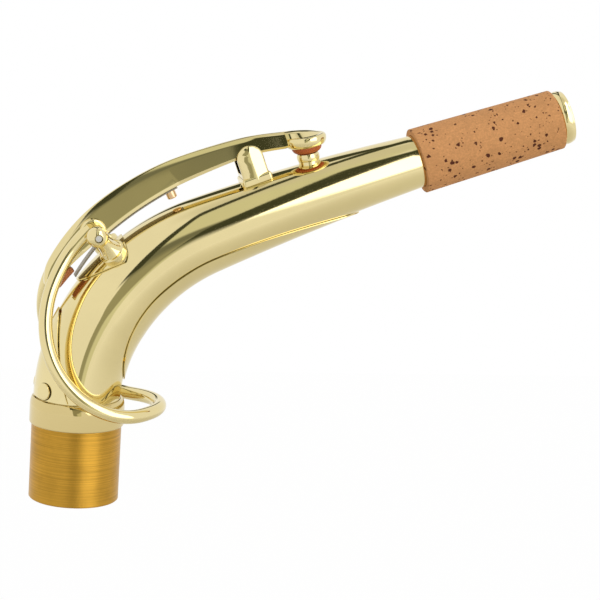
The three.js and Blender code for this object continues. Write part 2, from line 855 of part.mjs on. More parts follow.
function makeSpringScrew() {
  const seat = -(springThickness + 2 * solderGap);
  return fused(
    screwCylinder(screwHeadRadius, seat - screwHeadHeight, seat),
    screwCylinder(screwShankRadius, seat - screwHeadHeight / 2, screwShankLength),
  );
}

function makeBumper() {
  return stripAlongNeck(spaced(bumperStart, bumperEnd, 4).map((at) => {
    const high = armUndersideAt(at) - solderGap;
    return { at, low: high - bumperThickness, high, width: bumperWidth };
  }));
}

const neck = new THREE.Group();

function addPiece(name, geometry, material) {
  const mesh = new THREE.Mesh(closed(geometry), material);
  mesh.name = name;
  neck.add(mesh);
}

// The tenon, collar and rivet lathes are made along +Y and stood up along +Z
function upright(geometry) {
  return geometry.rotateX(90 * deg);
}

addPiece('tenon', upright(makeTenon()), bareBrass);
addPiece('collar', upright(makeCollar()), lacquer);
addPiece('neck_tube', makeTube(), lacquer);
addPiece('mouthpiece_cork', makeCork(), corkSkin);
addPiece('tip_ring', makeTipRing(), lacquer);
addPiece('underbrace', makeUnderbrace(), lacquer);
addPiece('back_plate', makeBackPlate(), lacquer);
addPiece('plate_rivet_near', makeRivet(1), lacquer);
addPiece('plate_rivet_far', makeRivet(-1), lacquer);
addPiece('saddle_plate', makeSaddle(), lacquer);
addPiece('post_near', makePost(1), lacquer);
addPiece('post_far', makePost(-1), lacquer);
addPiece('hinge_rod', makeHingeRod(), steel);
addPiece('key_guide', makeGuide(), lacquer);
addPiece('octave_vent', makeVent(), lacquer);
addPiece('hinge_tube', makeHingeTube(), lacquer);
addPiece('key_arm', makeArm(), lacquer);
addPiece('key_ring', makeRing(), lacquer);
addPiece('pad_cup', makeCup(), lacquer);
addPiece('octave_pad', makePad(), padLeather);
addPiece('flat_spring', makeSpring(), springSteel);
addPiece('spring_screw', makeSpringScrew(), bareBrass);
addPiece('tail_cork', makeBumper(), corkSkin);

export default neck;
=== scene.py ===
"""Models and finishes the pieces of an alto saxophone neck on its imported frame."""

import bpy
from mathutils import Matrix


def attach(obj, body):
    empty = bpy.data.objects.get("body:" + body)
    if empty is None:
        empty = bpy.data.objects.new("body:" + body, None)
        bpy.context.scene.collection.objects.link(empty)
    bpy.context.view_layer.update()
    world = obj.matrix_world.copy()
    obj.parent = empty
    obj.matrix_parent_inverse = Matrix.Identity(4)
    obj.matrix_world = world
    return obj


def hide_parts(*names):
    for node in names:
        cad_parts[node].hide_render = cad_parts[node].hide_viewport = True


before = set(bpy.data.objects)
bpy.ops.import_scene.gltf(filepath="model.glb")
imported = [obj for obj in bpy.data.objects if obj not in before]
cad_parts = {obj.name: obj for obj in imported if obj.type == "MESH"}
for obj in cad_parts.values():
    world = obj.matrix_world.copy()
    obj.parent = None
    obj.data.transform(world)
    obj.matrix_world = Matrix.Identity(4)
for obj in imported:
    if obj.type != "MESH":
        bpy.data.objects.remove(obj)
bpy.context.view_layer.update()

import math

import bpy
from mathutils import Matrix, Vector

bl_info = {
    "name": "Saxophone Neck",
    "version": (1, 0, 0),
    "blender": (4, 5, 0),
    "location": "3D View > Sidebar > Saxophone Neck",
    "description": "Models a saxophone neck and its octave key piece by piece",
    "category": "Object",
}

MM = 0.001
NEAR = Vector((0, -1, 0))
FAR = Vector((0, 1, 0))
SIDES = ((1, "near"), (-1, "far"))

# Line of the neck: a plain start, three bends and a straight end
BEND_START = 27.3 * MM
BENDS = ((46.8 * MM, 34.6), (55.7 * MM, 31.9), (627 * MM, 5.1))
STRAIGHT = 50.8 * MM
BENT_LENGTH = sum(radius * math.radians(turn) for radius, turn in BENDS)
NECK_END = BENT_LENGTH + STRAIGHT
# Thin gap under soldered and seated pieces; cork, gap and tip ring take up the last 44.02 mm
SOLDER_GAP = 0.12 * MM
CORK_START = NECK_END - 44.02 * MM


def length(text, size):
    """Size in millimetres as a property that the sidebar shows."""
    return bpy.props.FloatProperty(description=text, default=size * MM, subtype="DISTANCE", unit="LENGTH")


def tint(text, colour):
    """Colour as a property that the sidebar shows."""
    return bpy.props.FloatVectorProperty(description=text, default=colour, subtype="COLOR", min=0, max=1)


class NeckSizes(bpy.types.PropertyGroup):
    """Sizes of the neck"""

    tenon_radius: length("Outer radius of the tenon", 12.2)
    tenon_wall: length("Wall of the tenon", 1)
    tenon_length: length("Height of the tenon's upper end", 24)
    collar_radius: length("Outer radius of the collar", 12.85)
    collar_bottom: length("Height of the collar's lower edge", 20.9)
    collar_height: length("Height of the collar", 7.3)
    heel_radius: length("Largest radius of the tube", 11.5)
    cone_radius: length("Radius that the tube's taper starts from", 12.1)
    cork_seat_radius: length("Radius of the tube where the cork starts", 7.24)
    tip_radius: length("Radius of the tube at its tip", 6.8)
    cone_swell: length("Fullness of the tube's taper", 2.6)
    tube_wall: length("Wall of the tube", 0.8)
    cork_length: length("Length of the mouthpiece cork", 40.7)
    cork_radius: length("Radius of the cork at its thick end", 9)
    cork_tip_radius: length("Radius of the cork at its thin end", 8.3)
    tip_ring_radius: length("Radius of the ring at the tip", 7.5)
    tip_ring_length: length("Length of the ring at the tip", 3.2)
    brace_thickness: length("Thickness of the underbrace", 0.75)
    back_thickness: length("Thickness of the back plate", 0.4)
    saddle_thickness: length("Thickness of the saddle plate", 0.9)
    rivet_radius: length("Radius of the rivet heads", 2.3)
    ball_radius: length("Radius of the posts' balls", 2.9)
    post_reach: length("Distance of the balls from the tube's centre line", 19.8)


class KeySizes(bpy.types.PropertyGroup):
    """Sizes of the octave key"""

    arm_width: length("Width of the key's arm", 4.4)
    wire_radius: length("Radius of the ring's wire", 1.85)
    cup_radius: length("Radius of the pad cup", 5.75)
    cup_mouth: length("Radius of the pad cup's lower edge", 4.6)
    cup_height: length("Height of the pad cup", 3)
    pad_radius: length("Radius of the pad", 4.15)
    spring_thickness: length("Thickness of the flat spring", 0.4)
    rod_radius: length("Radius of the hinge rod", 1.05)
    hinge_tube_radius: length("Radius of the tube on the rod", 2)


class Colours(bpy.types.PropertyGroup):
    """Colours of the materials"""

    lacquer: tint("Colour of the lacquered brass", (0.84, 0.715, 0.375))
    collar: tint("Colour of the collar's lacquered brass", (0.72, 0.58, 0.265))
    # Dark colour of the rings round the rivet heads: painted shade that stands in for the shadow line at
    # their edges
    tarnish: tint("Colour of the brass in the seams", (0.10, 0.075, 0.03))
    turned: tint("Colour of the bare turned brass", (0.66, 0.36, 0.05))
    steel: tint("Colour of the hinge rod", (0.62, 0.61, 0.58))
    spring: tint("Colour of the flat spring", (0.33, 0.29, 0.22))
    screw: tint("Colour of the spring's screw", (0.80, 0.56, 0.33))
    cork: tint("Colour of the mouthpiece cork", (0.59, 0.285, 0.112))
    cork_pore: tint("Colour of the cork's pores", (0.085, 0.022, 0.008))
    bumper: tint("Colour of the cork under the tail", (0.45, 0.16, 0.06))
    leather: tint("Colour of the pad", (0.40, 0.085, 0.012))


class Value:
    """Socket whose arithmetic adds Math nodes."""

    def __init__(self, paint, socket):
        self.paint = paint
        self.socket = socket

    def math(self, operation, *others):
        """Math node on this value and others."""
        node = self.paint.node("Math", {"operation": operation}, dict(enumerate((self, *others))))
        return Value(self.paint, node.outputs[0])

    def __add__(self, other):
        return self.math("ADD", other)

    def __sub__(self, other):
        return self.math("SUBTRACT", other)

    def __rsub__(self, other):
        return (self * -1).math("ADD", other)

    def __mul__(self, other):
        return self.math("MULTIPLY", other)

    __radd__ = __add__
    __rmul__ = __mul__

    def over(self, low, high):
        """0 below low, 1 above high, and a smooth rise between them."""
        settings = {"interpolation_type": "SMOOTHSTEP"}
        node = self.paint.node("MapRange", settings, {"Value": self, "From Min": low, "From Max": high})
        return Value(self.paint, node.outputs["Result"])


class Paint:
    """Material, or the world, and the nodes that make it."""

    def __init__(self, owner):
        owner.use_nodes = True
        self.owner = owner
        self.tree = owner.node_tree
        self.tree.nodes.clear()

    def node(self, kind, settings=None, sockets=None):
        """Node of a type, with its settings and then its sockets' values or links."""
        node = self.tree.nodes.new("ShaderNode" + kind)
        for name, value in (settings or {}).items():
            setattr(node, name, value)
        for name, value in (sockets or {}).items():
            source = value.socket if isinstance(value, Value) else value
            if isinstance(source, bpy.types.NodeSocket):
                self.tree.links.new(source, node.inputs[name])
            else:
                node.inputs[name].default_value = source
        return node

    def place(self, stretch=(1, 1, 1)):
        """Object coordinates, stretched along each axis."""
        coordinates = self.node("TexCoord")
        mapping = self.node("Mapping", {}, {"Vector": coordinates.outputs["Object"], "Scale": stretch})
        return mapping.outputs["Vector"]

    def noise(self, scale, stretch=(1, 1, 1), detail=3, roughness=0.55):
        """Cloudy noise from 0 to 1."""
        sockets = {"Vector": self.place(stretch), "Scale": scale, "Detail": detail, "Roughness": roughness}
        return Value(self, self.node("TexNoise", {}, sockets).outputs["Fac"])

    def cells(self, scale, place=None):
        """Ragged cells, each with a colour and the distance from its middle."""
        return self.node("TexVoronoi", {}, {"Vector": place or self.place(), "Scale": scale})

    def mix(self, share, first, second):
        """Colour between two colours, each a tuple or a socket."""
        first, second = ((*colour, 1) if isinstance(colour, tuple) else colour for colour in (first, second))
        return self.node("Mix", {"data_type": "RGBA"}, {0: share, 6: first, 7: second}).outputs[2]

    def bump(self, height, strength, distance):
        """Normal of a surface roughened by a height."""
        sockets = {"Height": height, "Strength": strength, "Distance": distance}
        return self.node("Bump", {}, sockets).outputs["Normal"]

    def surface(self, **sockets):
        """Ends the material with a Principled shader; gives the material."""
        named = {name.replace("_", " "): value for name, value in sockets.items()}
        shader = self.node("BsdfPrincipled", {}, named)
        self.node("OutputMaterial", {}, {"Surface": shader.outputs["BSDF"]})
        return self.owner


def scaled(colour, share):
    """Colour made darker or lighter."""
    return tuple(min(channel * share, 1) for channel in colour)


def lacquered_brass(name, colour):
    """Polished brass under clear lacquer, faintly clouded and scuffed."""
    paint = Paint(bpy.data.materials.new(name))
    cloud = paint.noise(60, detail=4)
    scuff = paint.noise(900, stretch=(1, 1, 0.2), detail=2)
    base = paint.mix(cloud.over(0.35, 0.7), scaled(colour, 0.97), scaled(colour, 1.02))
    rough = 0.045 + cloud * 0.02 + scuff.over(0.64, 0.8) * 0.04
    return paint.surface(Base_Color=base, Metallic=1.0, Roughness=rough, Coat_Weight=0.3, Coat_Roughness=0.03,
                         Normal=paint.bump(cloud + scuff * 0.15, 0.02, 0.0004))


def turned_brass(colour):
    """Bare brass with the fine lines of the lathe."""
    paint = Paint(bpy.data.materials.new("turned_brass"))
    lines = paint.noise(1, stretch=(26, 26, 4200), detail=5, roughness=0.8)
    bands = paint.noise(1, stretch=(12, 12, 700), detail=2)
    stain = paint.noise(160, detail=3)
    base = paint.mix(lines.over(0.3, 0.72), scaled(colour, 0.7), scaled(colour, 1.1))
    worn = paint.mix(stain.over(0.45, 0.75) * 0.35, base, scaled(colour, 0.6))
    rough = 0.3 + bands * 0.12
    return paint.surface(Base_Color=worn, Metallic=1.0, Roughness=rough, Anisotropic=0.9,
                         Anisotropic_Rotation=0.25, Normal=paint.bump(lines, 0.3, 0.0001))


def plain_metal(name, colour, roughness):
    """Metal with a fine grain."""
    paint = Paint(bpy.data.materials.new(name))
    grain = paint.noise(2500, stretch=(1, 0.15, 1), detail=3)
    base = paint.mix(grain, scaled(colour, 0.85), scaled(colour, 1.1))
    return paint.surface(Base_Color=base, Metallic=1.0, Roughness=roughness + grain * 0.12,
                         Normal=paint.bump(grain, 0.1, 0.0001))


def sheet_cork(name, colour, pore, share):
    """Cork whose pores are ragged cells; share is how many of the cells hold one."""
    paint = Paint(bpy.data.materials.new(name))
    warp = paint.node("TexNoise", {}, {"Vector": paint.place(), "Scale": 1500.0, "Detail": 3.0})
    shift = paint.node("VectorMath", {"operation": "MULTIPLY_ADD"},
                       {0: warp.outputs["Color"], 1: (0.0009, 0.0009, 0.0009), 2: paint.place()})
    clump = paint.noise(180, detail=2)
    holes = None
    for scale, widest, odds in ((600, 0.4, share), (1150, 0.34, share * 0.55)):
        cells = paint.cells(scale, place=shift.outputs[0])
        chance = Value(paint, paint.node("SeparateColor", {}, {0: cells.outputs["Color"]}).outputs[0])
        size = (chance + clump * 0.4 - 0.2).over(0.9 - odds, 1.05) * widest
        spots = (size - Value(paint, cells.outputs["Distance"])).over(0, 0.04)
        holes = spots if holes is None else holes.math("MAXIMUM", spots)
    grain = paint.noise(1800, detail=4, roughness=0.7)
    patch = paint.noise(260, detail=4)
    body = paint.mix(grain.over(0.25, 0.8), scaled(colour, 0.8), scaled(colour, 1.14))
    shaded = paint.mix(patch.over(0.42, 0.72) * 0.4, body, scaled(colour, 0.74))
    return paint.surface(Base_Color=paint.mix(holes, shaded, pore), Roughness=0.82, Specular_IOR_Level=0.25,
                         Normal=paint.bump(grain * 0.3 - holes, 0.45, 0.0003))


def pad_leather(colour):
    """Leather with a fine grain."""
    paint = Paint(bpy.data.materials.new("pad_leather"))
    grain = Value(paint, paint.cells(2600).outputs["Distance"])
    base = paint.mix(grain.over(0.1, 0.6), scaled(colour, 0.8), scaled(colour, 1.15))
    return paint.surface(Base_Color=base, Roughness=0.55, Normal=paint.bump(grain, 0.3, 0.0001))


MATERIALS = {}


def materials():
    """All materials by name, made at the first call."""
    if not MATERIALS:
        colours = bpy.context.scene.neck_colours
        MATERIALS["lacquer"] = lacquered_brass("lacquered_brass", tuple(colours.lacquer))
        MATERIALS["collar_lacquer"] = lacquered_brass("collar_lacquer", tuple(colours.collar))
        # Dark material of the rings round the rivet heads: painted shade, not the brass's own colour
        MATERIALS["tarnish"] = plain_metal("painted_shade_ring", tuple(colours.tarnish), 0.45)
        MATERIALS["bare_brass"] = turned_brass(tuple(colours.turned))
        MATERIALS["steel"] = plain_metal("steel", tuple(colours.steel), 0.2)
        MATERIALS["screw_brass"] = plain_metal("screw_brass", tuple(colours.screw), 0.14)
        MATERIALS["spring_steel"] = plain_metal("spring_steel", tuple(colours.spring), 0.3)
        MATERIALS["cork"] = sheet_cork("sheet_cork", tuple(colours.cork), tuple(colours.cork_pore), 0.72)
        MATERIALS["bumper"] = sheet_cork("bumper_cork", tuple(colours.bumper), tuple(colours.cork_pore), 0.35)
        MATERIALS["leather"] = pad_leather(tuple(colours.leather))
    return MATERIALS


def walked(x, z, heading, distance, arcs, way):
    """Point and heading after a distance along tangent arcs and the straight line beyond them."""
    for radius, turn in arcs:
        angle = min(max(distance, 0) / radius, math.radians(turn))
        chord = 2 * radius * math.sin(angle / 2)
        x += chord * math.cos(heading + way * angle / 2)
        z += chord * math.sin(heading + way * angle / 2)
        heading += way * angle
        distance -= angle * radius
    return x + distance * math.cos(heading), z + distance * math.sin(heading), heading


def neck_place(station):
    """Point and heading of the centre line at a distance from the start of the bend."""
    x, z, heading = walked(0.0, BEND_START, math.pi / 2, station, BENDS, -1)
    return Vector((x, 0, z)), heading


def neck_sides(station):
    """Centre, direction and outward side of the tube."""
    centre, heading = neck_place(station)
    ahead = Vector((math.cos(heading), 0, math.sin(heading)))
    return centre, ahead, Vector((-ahead.z, 0, ahead.x))


def neck_point(station, height):
    """Point at a height over the centre line, on the outside of the bend."""
    centre, _, out = neck_sides(station)
    return centre + out * height


def tube_radius(station):
    """Outer radius of the tube: a full taper up to the cork, then a slight even one."""
    sizes = bpy.context.scene.neck_sizes
    if station >= CORK_START:
        share = (station - CORK_START) / (NECK_END - CORK_START)
        return sizes.cork_seat_radius + (sizes.tip_radius - sizes.cork_seat_radius) * share
    share = max(station / CORK_START, 0)
    cone = sizes.cone_radius + (sizes.cork_seat_radius - sizes.cone_radius) * share
    return min(cone + sizes.cone_swell * share * (1 - share), sizes.heel_radius)


def standing(station, height=0.0, splay=0.0, tilt=0.0):
    """Frame that stands on the tube: +Z outward and +X along the tube."""
    centre, ahead, out = neck_sides(station)
    leaned = out * math.cos(tilt) + ahead * math.sin(tilt)
    up = leaned * math.cos(splay) + NEAR * math.sin(splay)
    forward = (ahead - up * ahead.dot(up)).normalized()
    turn = Matrix((forward, up.cross(forward), up)).transposed().to_4x4()
    return Matrix.Translation(centre + out * height) @ turn


def spaced(low, high, steps):
    """Even steps between two values, with both of them."""
    return [low + (high - low) * step / steps for step in range(steps + 1)]


def arc(centre, radii, start, end, steps):
    """(radius, height) pairs round an ellipse, by angles in degrees."""
    angles = [math.radians(angle) for angle in spaced(start, end, steps)]
    return [(centre[0] + radii[0] * math.cos(angle), centre[1] + radii[1] * math.sin(angle))
            for angle in angles]


def corner(radius, height, size, steps, upper=True):
    """Rounded upper or lower corner of a profile, at its outer radius and its end."""
    if upper:
        return arc((radius - size, height - size), (size, size), 0, 90, steps)
    return arc((radius - size, height + size), (size, size), -90, 0, steps)


def eased(share):
    """Smooth rise from 0 to 1."""
    return share * share * (3 - 2 * share)


def nothing_selected():
    """Leaves edit mode and deselects all."""
    if bpy.context.mode != "OBJECT":
        bpy.ops.object.mode_set(mode="OBJECT")
    bpy.ops.object.select_all(action="DESELECT")


def only(piece):
    """Selects one piece and makes it the active one."""
    nothing_selected()
    piece.select_set(True)
    bpy.context.view_layer.objects.active = piece


def modified(piece, kind, **settings):
    """Adds a modifier and applies it."""
    only(piece)
    modifier = piece.modifiers.new(kind.lower(), kind)
    for name, value in settings.items():
        setattr(modifier, name, value)
    bpy.ops.object.modifier_apply(modifier=modifier.name)
    return piece


def edited(piece):
    """Opens a piece in edit mode with all of it selected."""
    only(piece)
    bpy.ops.object.mode_set(mode="EDIT")
    bpy.ops.mesh.select_all(action="SELECT")


def faced(piece):
    """Turns the faces of a piece the same way."""
    edited(piece)
    bpy.ops.mesh.normals_make_consistent(inside=False)
    bpy.ops.object.mode_set(mode="OBJECT")
    return piece


def walled(piece, thickness, side):
    """Gives a sheet round +Z its thickness, outward where side is 1 and inward where it is -1."""
    face = piece.data.polygons[len(piece.data.polygons) // 2]
    outward = face.normal.dot(Vector((face.center.x, face.center.y, 0))) > 0
    return modified(piece, "SOLIDIFY", thickness=thickness, offset=side if outward else -side)


def softened(piece, width, segments=3, angle=50):
    """Rounds the edges that are sharper than an angle in degrees."""
    return modified(piece, "BEVEL", width=width, segments=segments, limit_method="ANGLE",
                    angle_limit=math.radians(angle))


def cleaned(piece, angle=35):
    """Merges doubled points, turns the faces outward and smooths the edges below an angle in degrees."""
    edited(piece)
    bpy.ops.mesh.remove_doubles(threshold=0.001 * MM)
    bpy.ops.mesh.normals_make_consistent(inside=False)
    bpy.ops.object.mode_set(mode="OBJECT")
    bpy.ops.object.shade_smooth_by_angle(angle=math.radians(angle))
    return piece


def turned(profile, sides=64, fill=False):
    """Circle that is extruded and scaled through (radius, height) pairs along +Z."""
    nothing_selected()
    (radius, height), rest = profile[0], profile[1:]
    cap = "TRIFAN" if fill else "NOTHING"
    bpy.ops.mesh.primitive_circle_add(vertices=sides, radius=radius, fill_type=cap, location=(0, 0, height))
    piece = bpy.context.active_object
    bpy.ops.object.transform_apply(location=True)
    edited(piece)
    for next_radius, next_height in rest:
        bpy.ops.mesh.extrude_region_move(TRANSFORM_OT_translate={"value": (0, 0, next_height - height)})
        if next_radius < 1e-3 * MM:
            bpy.ops.mesh.merge(type="CENTER")
            break
        grow = next_radius / radius
        bpy.ops.transform.resize(value=(grow, grow, 1), center_override=(0, 0, next_height))
        radius, height = next_radius, next_height
    bpy.ops.object.mode_set(mode="OBJECT")
    return cleaned(piece)


def put(piece, matrix):
    """Moves a piece by a matrix and writes its place into its mesh."""
    only(piece)
    piece.matrix_world = matrix @ piece.matrix_world
    bpy.ops.object.transform_apply(location=True, rotation=True, scale=True)
    return piece


def drawn_line(name, points):
    """Curve through points."""
    curve = bpy.data.curves.new(name, "CURVE")
    curve.dimensions = "3D"
    spline = curve.splines.new("POLY")
    spline.points.add(len(points) - 1)
    for vertex, point in zip(spline.points, points):
        vertex.co = (*point, 1)
    line = bpy.data.objects.new(name, curve)
    bpy.context.scene.collection.objects.link(line)
    return line


def bent(piece):
    """Bends a piece that stands along +Z, by height as distance along the neck's line."""
    line = drawn_line("neck_line", [neck_place(station)[0] for station in spaced(-BEND_START, NECK_END, 400)])
    line.data.twist_mode = "MINIMUM"
    modified(piece, "CURVE", object=line, deform_axis="POS_Z")
    bpy.data.objects.remove(line)
    return piece


def along(profile):
    """Stations of a profile as heights for bent()."""
    return [(radius, station + BEND_START) for radius, station in profile]


def kept(piece, name, body, slot, nodes, material=None):
    """Names and paints a finished piece, gives it its body and hides the nodes it stands for; the slot names
    its material when no other is given.
    """
    modified(piece, "WEIGHTED_NORMAL", keep_sharp=True, weight=80)
    piece.name = name
    piece.data.name = name
    piece.data.materials.clear()
    piece.data.materials.append(materials()[material or slot])
    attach(piece, body)
    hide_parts(*nodes)
    return piece


def joined(first, *others):
    """Makes one piece of several."""
    nothing_selected()
    for piece in (first, *others):
        piece.select_set(True)
    bpy.context.view_layer.objects.active = first
    bpy.ops.object.join()
    return first


def cut(piece, tool):
    """Takes the tool's shape out of a piece."""
    modified(piece, "BOOLEAN", object=tool, operation="DIFFERENCE", solver="EXACT")
    bpy.data.objects.remove(tool)
    return piece


# Plates on the tube: stations, half angles in degrees, shapes, and how thin the two thicker ones look
BRACE = {"start": 7.9 * MM, "full_from": 40.4 * MM, "full_to": 55.4 * MM, "end": 102.4 * MM, "half": 60}
BACK = {"top": 21 * MM, "half": 70}
SADDLE = {"start": 28 * MM, "end": 42 * MM, "corner": 3.4 * MM, "half": 50}
BACK_POWER = 0.6
SADDLE_POWER = 0.52
BLUNT = 0.02
BRACE_SHARE = 0.42
SADDLE_SHARE = 0.55


def rounded_end(distance, run):
    """Share of a plate's width near an end that is a half ellipse."""
    share = min(max(1 - distance / run, 0), 1)
    return max(math.sqrt(1 - share * share), BLUNT)


def pointed_end(distance, run, power):
    """Share of a plate's width near a pointed end."""
    return max(min(max(distance / run, 0), 1) ** power, BLUNT)


def plate(low, high, middle, half_angle, thickness):
    """Sheet that follows the tube, made flat and wrapped round the neck's line."""
    nothing_selected()
    bpy.ops.mesh.primitive_grid_add(x_subdivisions=96, y_subdivisions=28, size=2)
    piece = bpy.context.active_object
    for vertex in piece.data.vertices:
        share = (1 - math.cos((vertex.co.x + 1) * math.pi / 2)) / 2
        station = low + (high - low) * share
        angle = middle + math.radians(half_angle(station)) * vertex.co.y
        radius = tube_radius(station) + SOLDER_GAP
        vertex.co = (radius * math.cos(angle), radius * math.sin(angle), station + BEND_START)
    walled(faced(piece), thickness, 1)
    return cleaned(bent(softened(piece, 0.35 * thickness)), 40)


# Hinge of the octave key
HINGE_STATION = 38.1 * MM
POST_SPLAY = math.radians(28.2)


def hinge_height():
    """Height of the hinge over the centre line."""
    return bpy.context.scene.neck_sizes.post_reach * math.cos(POST_SPLAY)


def hinge_point():
    """Middle of the hinge's axis."""
    return neck_point(HINGE_STATION, hinge_height())


def across(piece, far=0.0):
    """Turns a piece that was made along +Z to lie along +Y at the hinge."""
    turn = Matrix.Rotation(math.radians(-90), 4, "X")
    return put(piece, Matrix.Translation(hinge_point() + FAR * far) @ turn)


# Key's arm: tail, length, greatest gap and depth, then shares of the last three from tail to cup
ARM = {"tail": 23.8 * MM, "length": 63.9 * MM, "gap": 6.6 * MM, "depth": 7.7 * MM}
ARM_SHAPE = ((0, 0.85, 0.22), (0.02, 0.76, 0.44), (0.07, 0.71, 0.68), (0.22, 0.57, 1),
             (0.4, 0.64, 0.99), (0.62, 0.86, 0.84), (0.85, 1, 0.65), (1, 0.86, 0.58))
# Slope of its flat sides at the tail and at the cup in degrees, its lower and upper corners, what its
# foot is wider by, and the width of its sole as a share
TAIL_SLOPE = 12.5
CUP_SLOPE = 17
ARM_CORNERS = (1.15 * MM, 2.1 * MM)
ARM_FOOT_EXTRA = 0.4 * MM
SOLE_SHARE = 1.48
# Distance past the arm's end and fall, of its last section and of the tongue's first
ARM_END = (1 * MM, 0.22 * MM)
TONGUE_START = (1.06 * MM, 0.24 * MM)
# Tongue: length, narrow width and what it spreads by, then its edges under and over the cup's roof
TONGUE_REACH = 9.9 * MM
TONGUE_WIDTH = 4.8 * MM
TONGUE_SPREAD = 3.4 * MM
TONGUE_SUNK = 0.25 * MM
TONGUE_TIP = 0.22 * MM


def arm_edges():
    """Low and top edge of the arm as (station, height) points."""
    low, top = [], []
    for along_share, gap, depth in ARM_SHAPE:
        station = ARM["tail"] + along_share * ARM["length"]
        height = tube_radius(station) + gap * ARM["gap"]
        low.append((station, height))
        top.append((station, height + depth * ARM["depth"]))
    return low, top


def smooth_point(points, share):
    """Point of a Catmull-Rom curve through points."""
    last = len(points) - 1
    index = min(int(share * last), last - 1)
    weight = share * last - index
    four = (points[max(index - 1, 0)], points[index], points[index + 1], points[min(index + 2, last)])

    def blend(before, start, end, after):
        leaving, arriving = (end - before) / 2, (after - start) / 2
        return ((2 * start - 2 * end + leaving + arriving) * weight ** 3
                + (-3 * start + 3 * end - 2 * leaving - arriving) * weight ** 2 + leaving * weight + start)

    return tuple(blend(*values) for values in zip(*four))


def underside(station):
    """Height of the arm's lower edge over the centre line."""
    samples = [smooth_point(arm_edges()[0], share) for share in spaced(0, 1, 120)]
    for before, after in zip(samples, samples[1:]):
        if after[0] >= station:
            share = (station - before[0]) / (after[0] - before[0])
            return before[1] + (after[1] - before[1]) * share
    return samples[-1][1]


def round_corners(face, middle, above, size, segments):
    """Rounds the two corners of an upright face that lie above or below its middle."""
    edited(face)
    bpy.ops.mesh.select_mode(type="VERT")
    bpy.ops.mesh.select_all(action="DESELECT")
    bpy.ops.object.mode_set(mode="OBJECT")
    for vertex in face.data.vertices:
        vertex.select = (vertex.co.x > middle) == above
    bpy.ops.object.mode_set(mode="EDIT")
    bpy.ops.mesh.bevel(offset=size, segments=segments, profile=0.5, affect="VERTICES")
    bpy.ops.object.mode_set(mode="OBJECT")


def straight_bar(sections, rounding=(0.0, 0.0)):
    """Face that is extruded and scaled through (station, low, top, width) sections, before it is bent."""
    nothing_selected()
    station, low, top, width = sections[0]
    deepest = max(section[2] - section[1] for section in sections)
    middle, place = low + deepest / 2, station + BEND_START
    bpy.ops.mesh.primitive_plane_add(size=1, location=(middle, 0, place))
    piece = bpy.context.active_object
    piece.scale = (deepest, width, 1)
    bpy.ops.object.transform_apply(location=True, scale=True)
    for size, above, segments in ((rounding[0], False, 1), (rounding[1], True, 12)):
        if size:
            round_corners(piece, middle, above, size, segments)
    edited(piece)
    bpy.ops.transform.resize(value=((top - low) / deepest, 1, 1), center_override=(low, 0, place))
    for station, next_low, next_top, next_width in sections[1:]:
        step = (next_low - low, 0, station + BEND_START - place)
        bpy.ops.mesh.extrude_region_move(TRANSFORM_OT_translate={"value": step})
        place = station + BEND_START
        grow = ((next_top - next_low) / (top - low), next_width / width, 1)
        bpy.ops.transform.resize(value=grow, center_override=(next_low, 0, place))
        low, top, width = next_low, next_top, next_width
    return faced(piece)


def arm_sections(steps, width):
    """Sections of the arm, with the share of the width that is left at its top."""
    low, top = arm_edges()
    sections = []
    for share in spaced(0, 1, steps):
        below, above = smooth_point(low, share), smooth_point(top, share)
        slope = math.radians(TAIL_SLOPE + (CUP_SLOPE - TAIL_SLOPE) * share)
        crest = 1 - 2 * math.tan(slope) * (above[1] - below[1]) / width
        sections.append((below[0], below[1], above[1], width, crest))
    return sections


def tongue_sections(start, top):
    """Sections of the tongue, which widens over the pad cup's top and falls to its edge."""
    size = bpy.context.scene.key_sizes
    lift = VENT_HEIGHT + PAD_SHOWING + size.cup_height
    lean, rise = math.sin(VENT_TILT), math.cos(VENT_TILT)
    root = tube_radius(VENT_STATION) + lift * rise
    sections = []
    for share in spaced(0, 1, 32):
        station = start + TONGUE_REACH * share
        roof = root - lean * (station - VENT_STATION - lift * lean) / rise
        low = roof - TONGUE_SUNK
        high = top + (roof + TONGUE_TIP - top) * share
        round_tip = math.sqrt(max(1 - max((share - 0.6) / 0.4, 0) ** 2, 0.03))
        spread = eased(min(share / 0.45, 1))
        width = (TONGUE_WIDTH + TONGUE_SPREAD * spread) * round_tip
        rounded_top = low + (high - low) * (0.35 + 0.65 * round_tip)
        sections.append((station, low, rounded_top, width, 0.5 - 0.26 * spread))
    return sections


# Ring of the key: its side view, then its width seen from above
LEG_LIFT = 1.9 * MM
LEG_ARC = (40 * MM, 26)
SWEEP_ARC = (25.2 * MM, 112.3)
RING_FRONT = 5.4 * MM
RING_HALF_WIDTH = 16 * MM
RING_NOSE = 17.7 * MM
RING_TAPER = 49.8 * MM
RING_POWER = 1.9
RING_SKEW = math.radians(5.7)
LEG_SIDE = 4.225 * MM
RING_LENGTH = sum(radius * math.radians(turn) for radius, turn in (LEG_ARC, SWEEP_ARC)) + RING_FRONT


def leg_start():
    """Point where the ring's legs leave the lugs, in the side view."""
    return neck_point(HINGE_STATION, hinge_height() + LEG_LIFT)


def ring_side(distance):
    """Point of the ring's side view at a distance from the hinge."""
    heading = neck_place(HINGE_STATION)[1] + math.pi
    return walked(leg_start().x, leg_start().z, heading, distance, (LEG_ARC, SWEEP_ARC), 1)[:2]


def ring_half_width(from_front):
    """Half width of the ring at a distance back from its front."""
    if from_front < RING_NOSE:
        return RING_HALF_WIDTH * math.sqrt(max(1 - (1 - from_front / RING_NOSE) ** 2, 0))
    share = min((from_front - RING_NOSE) / RING_TAPER, 1)
    return LEG_SIDE + (RING_HALF_WIDTH - LEG_SIDE) * (1 - share * share) ** RING_POWER


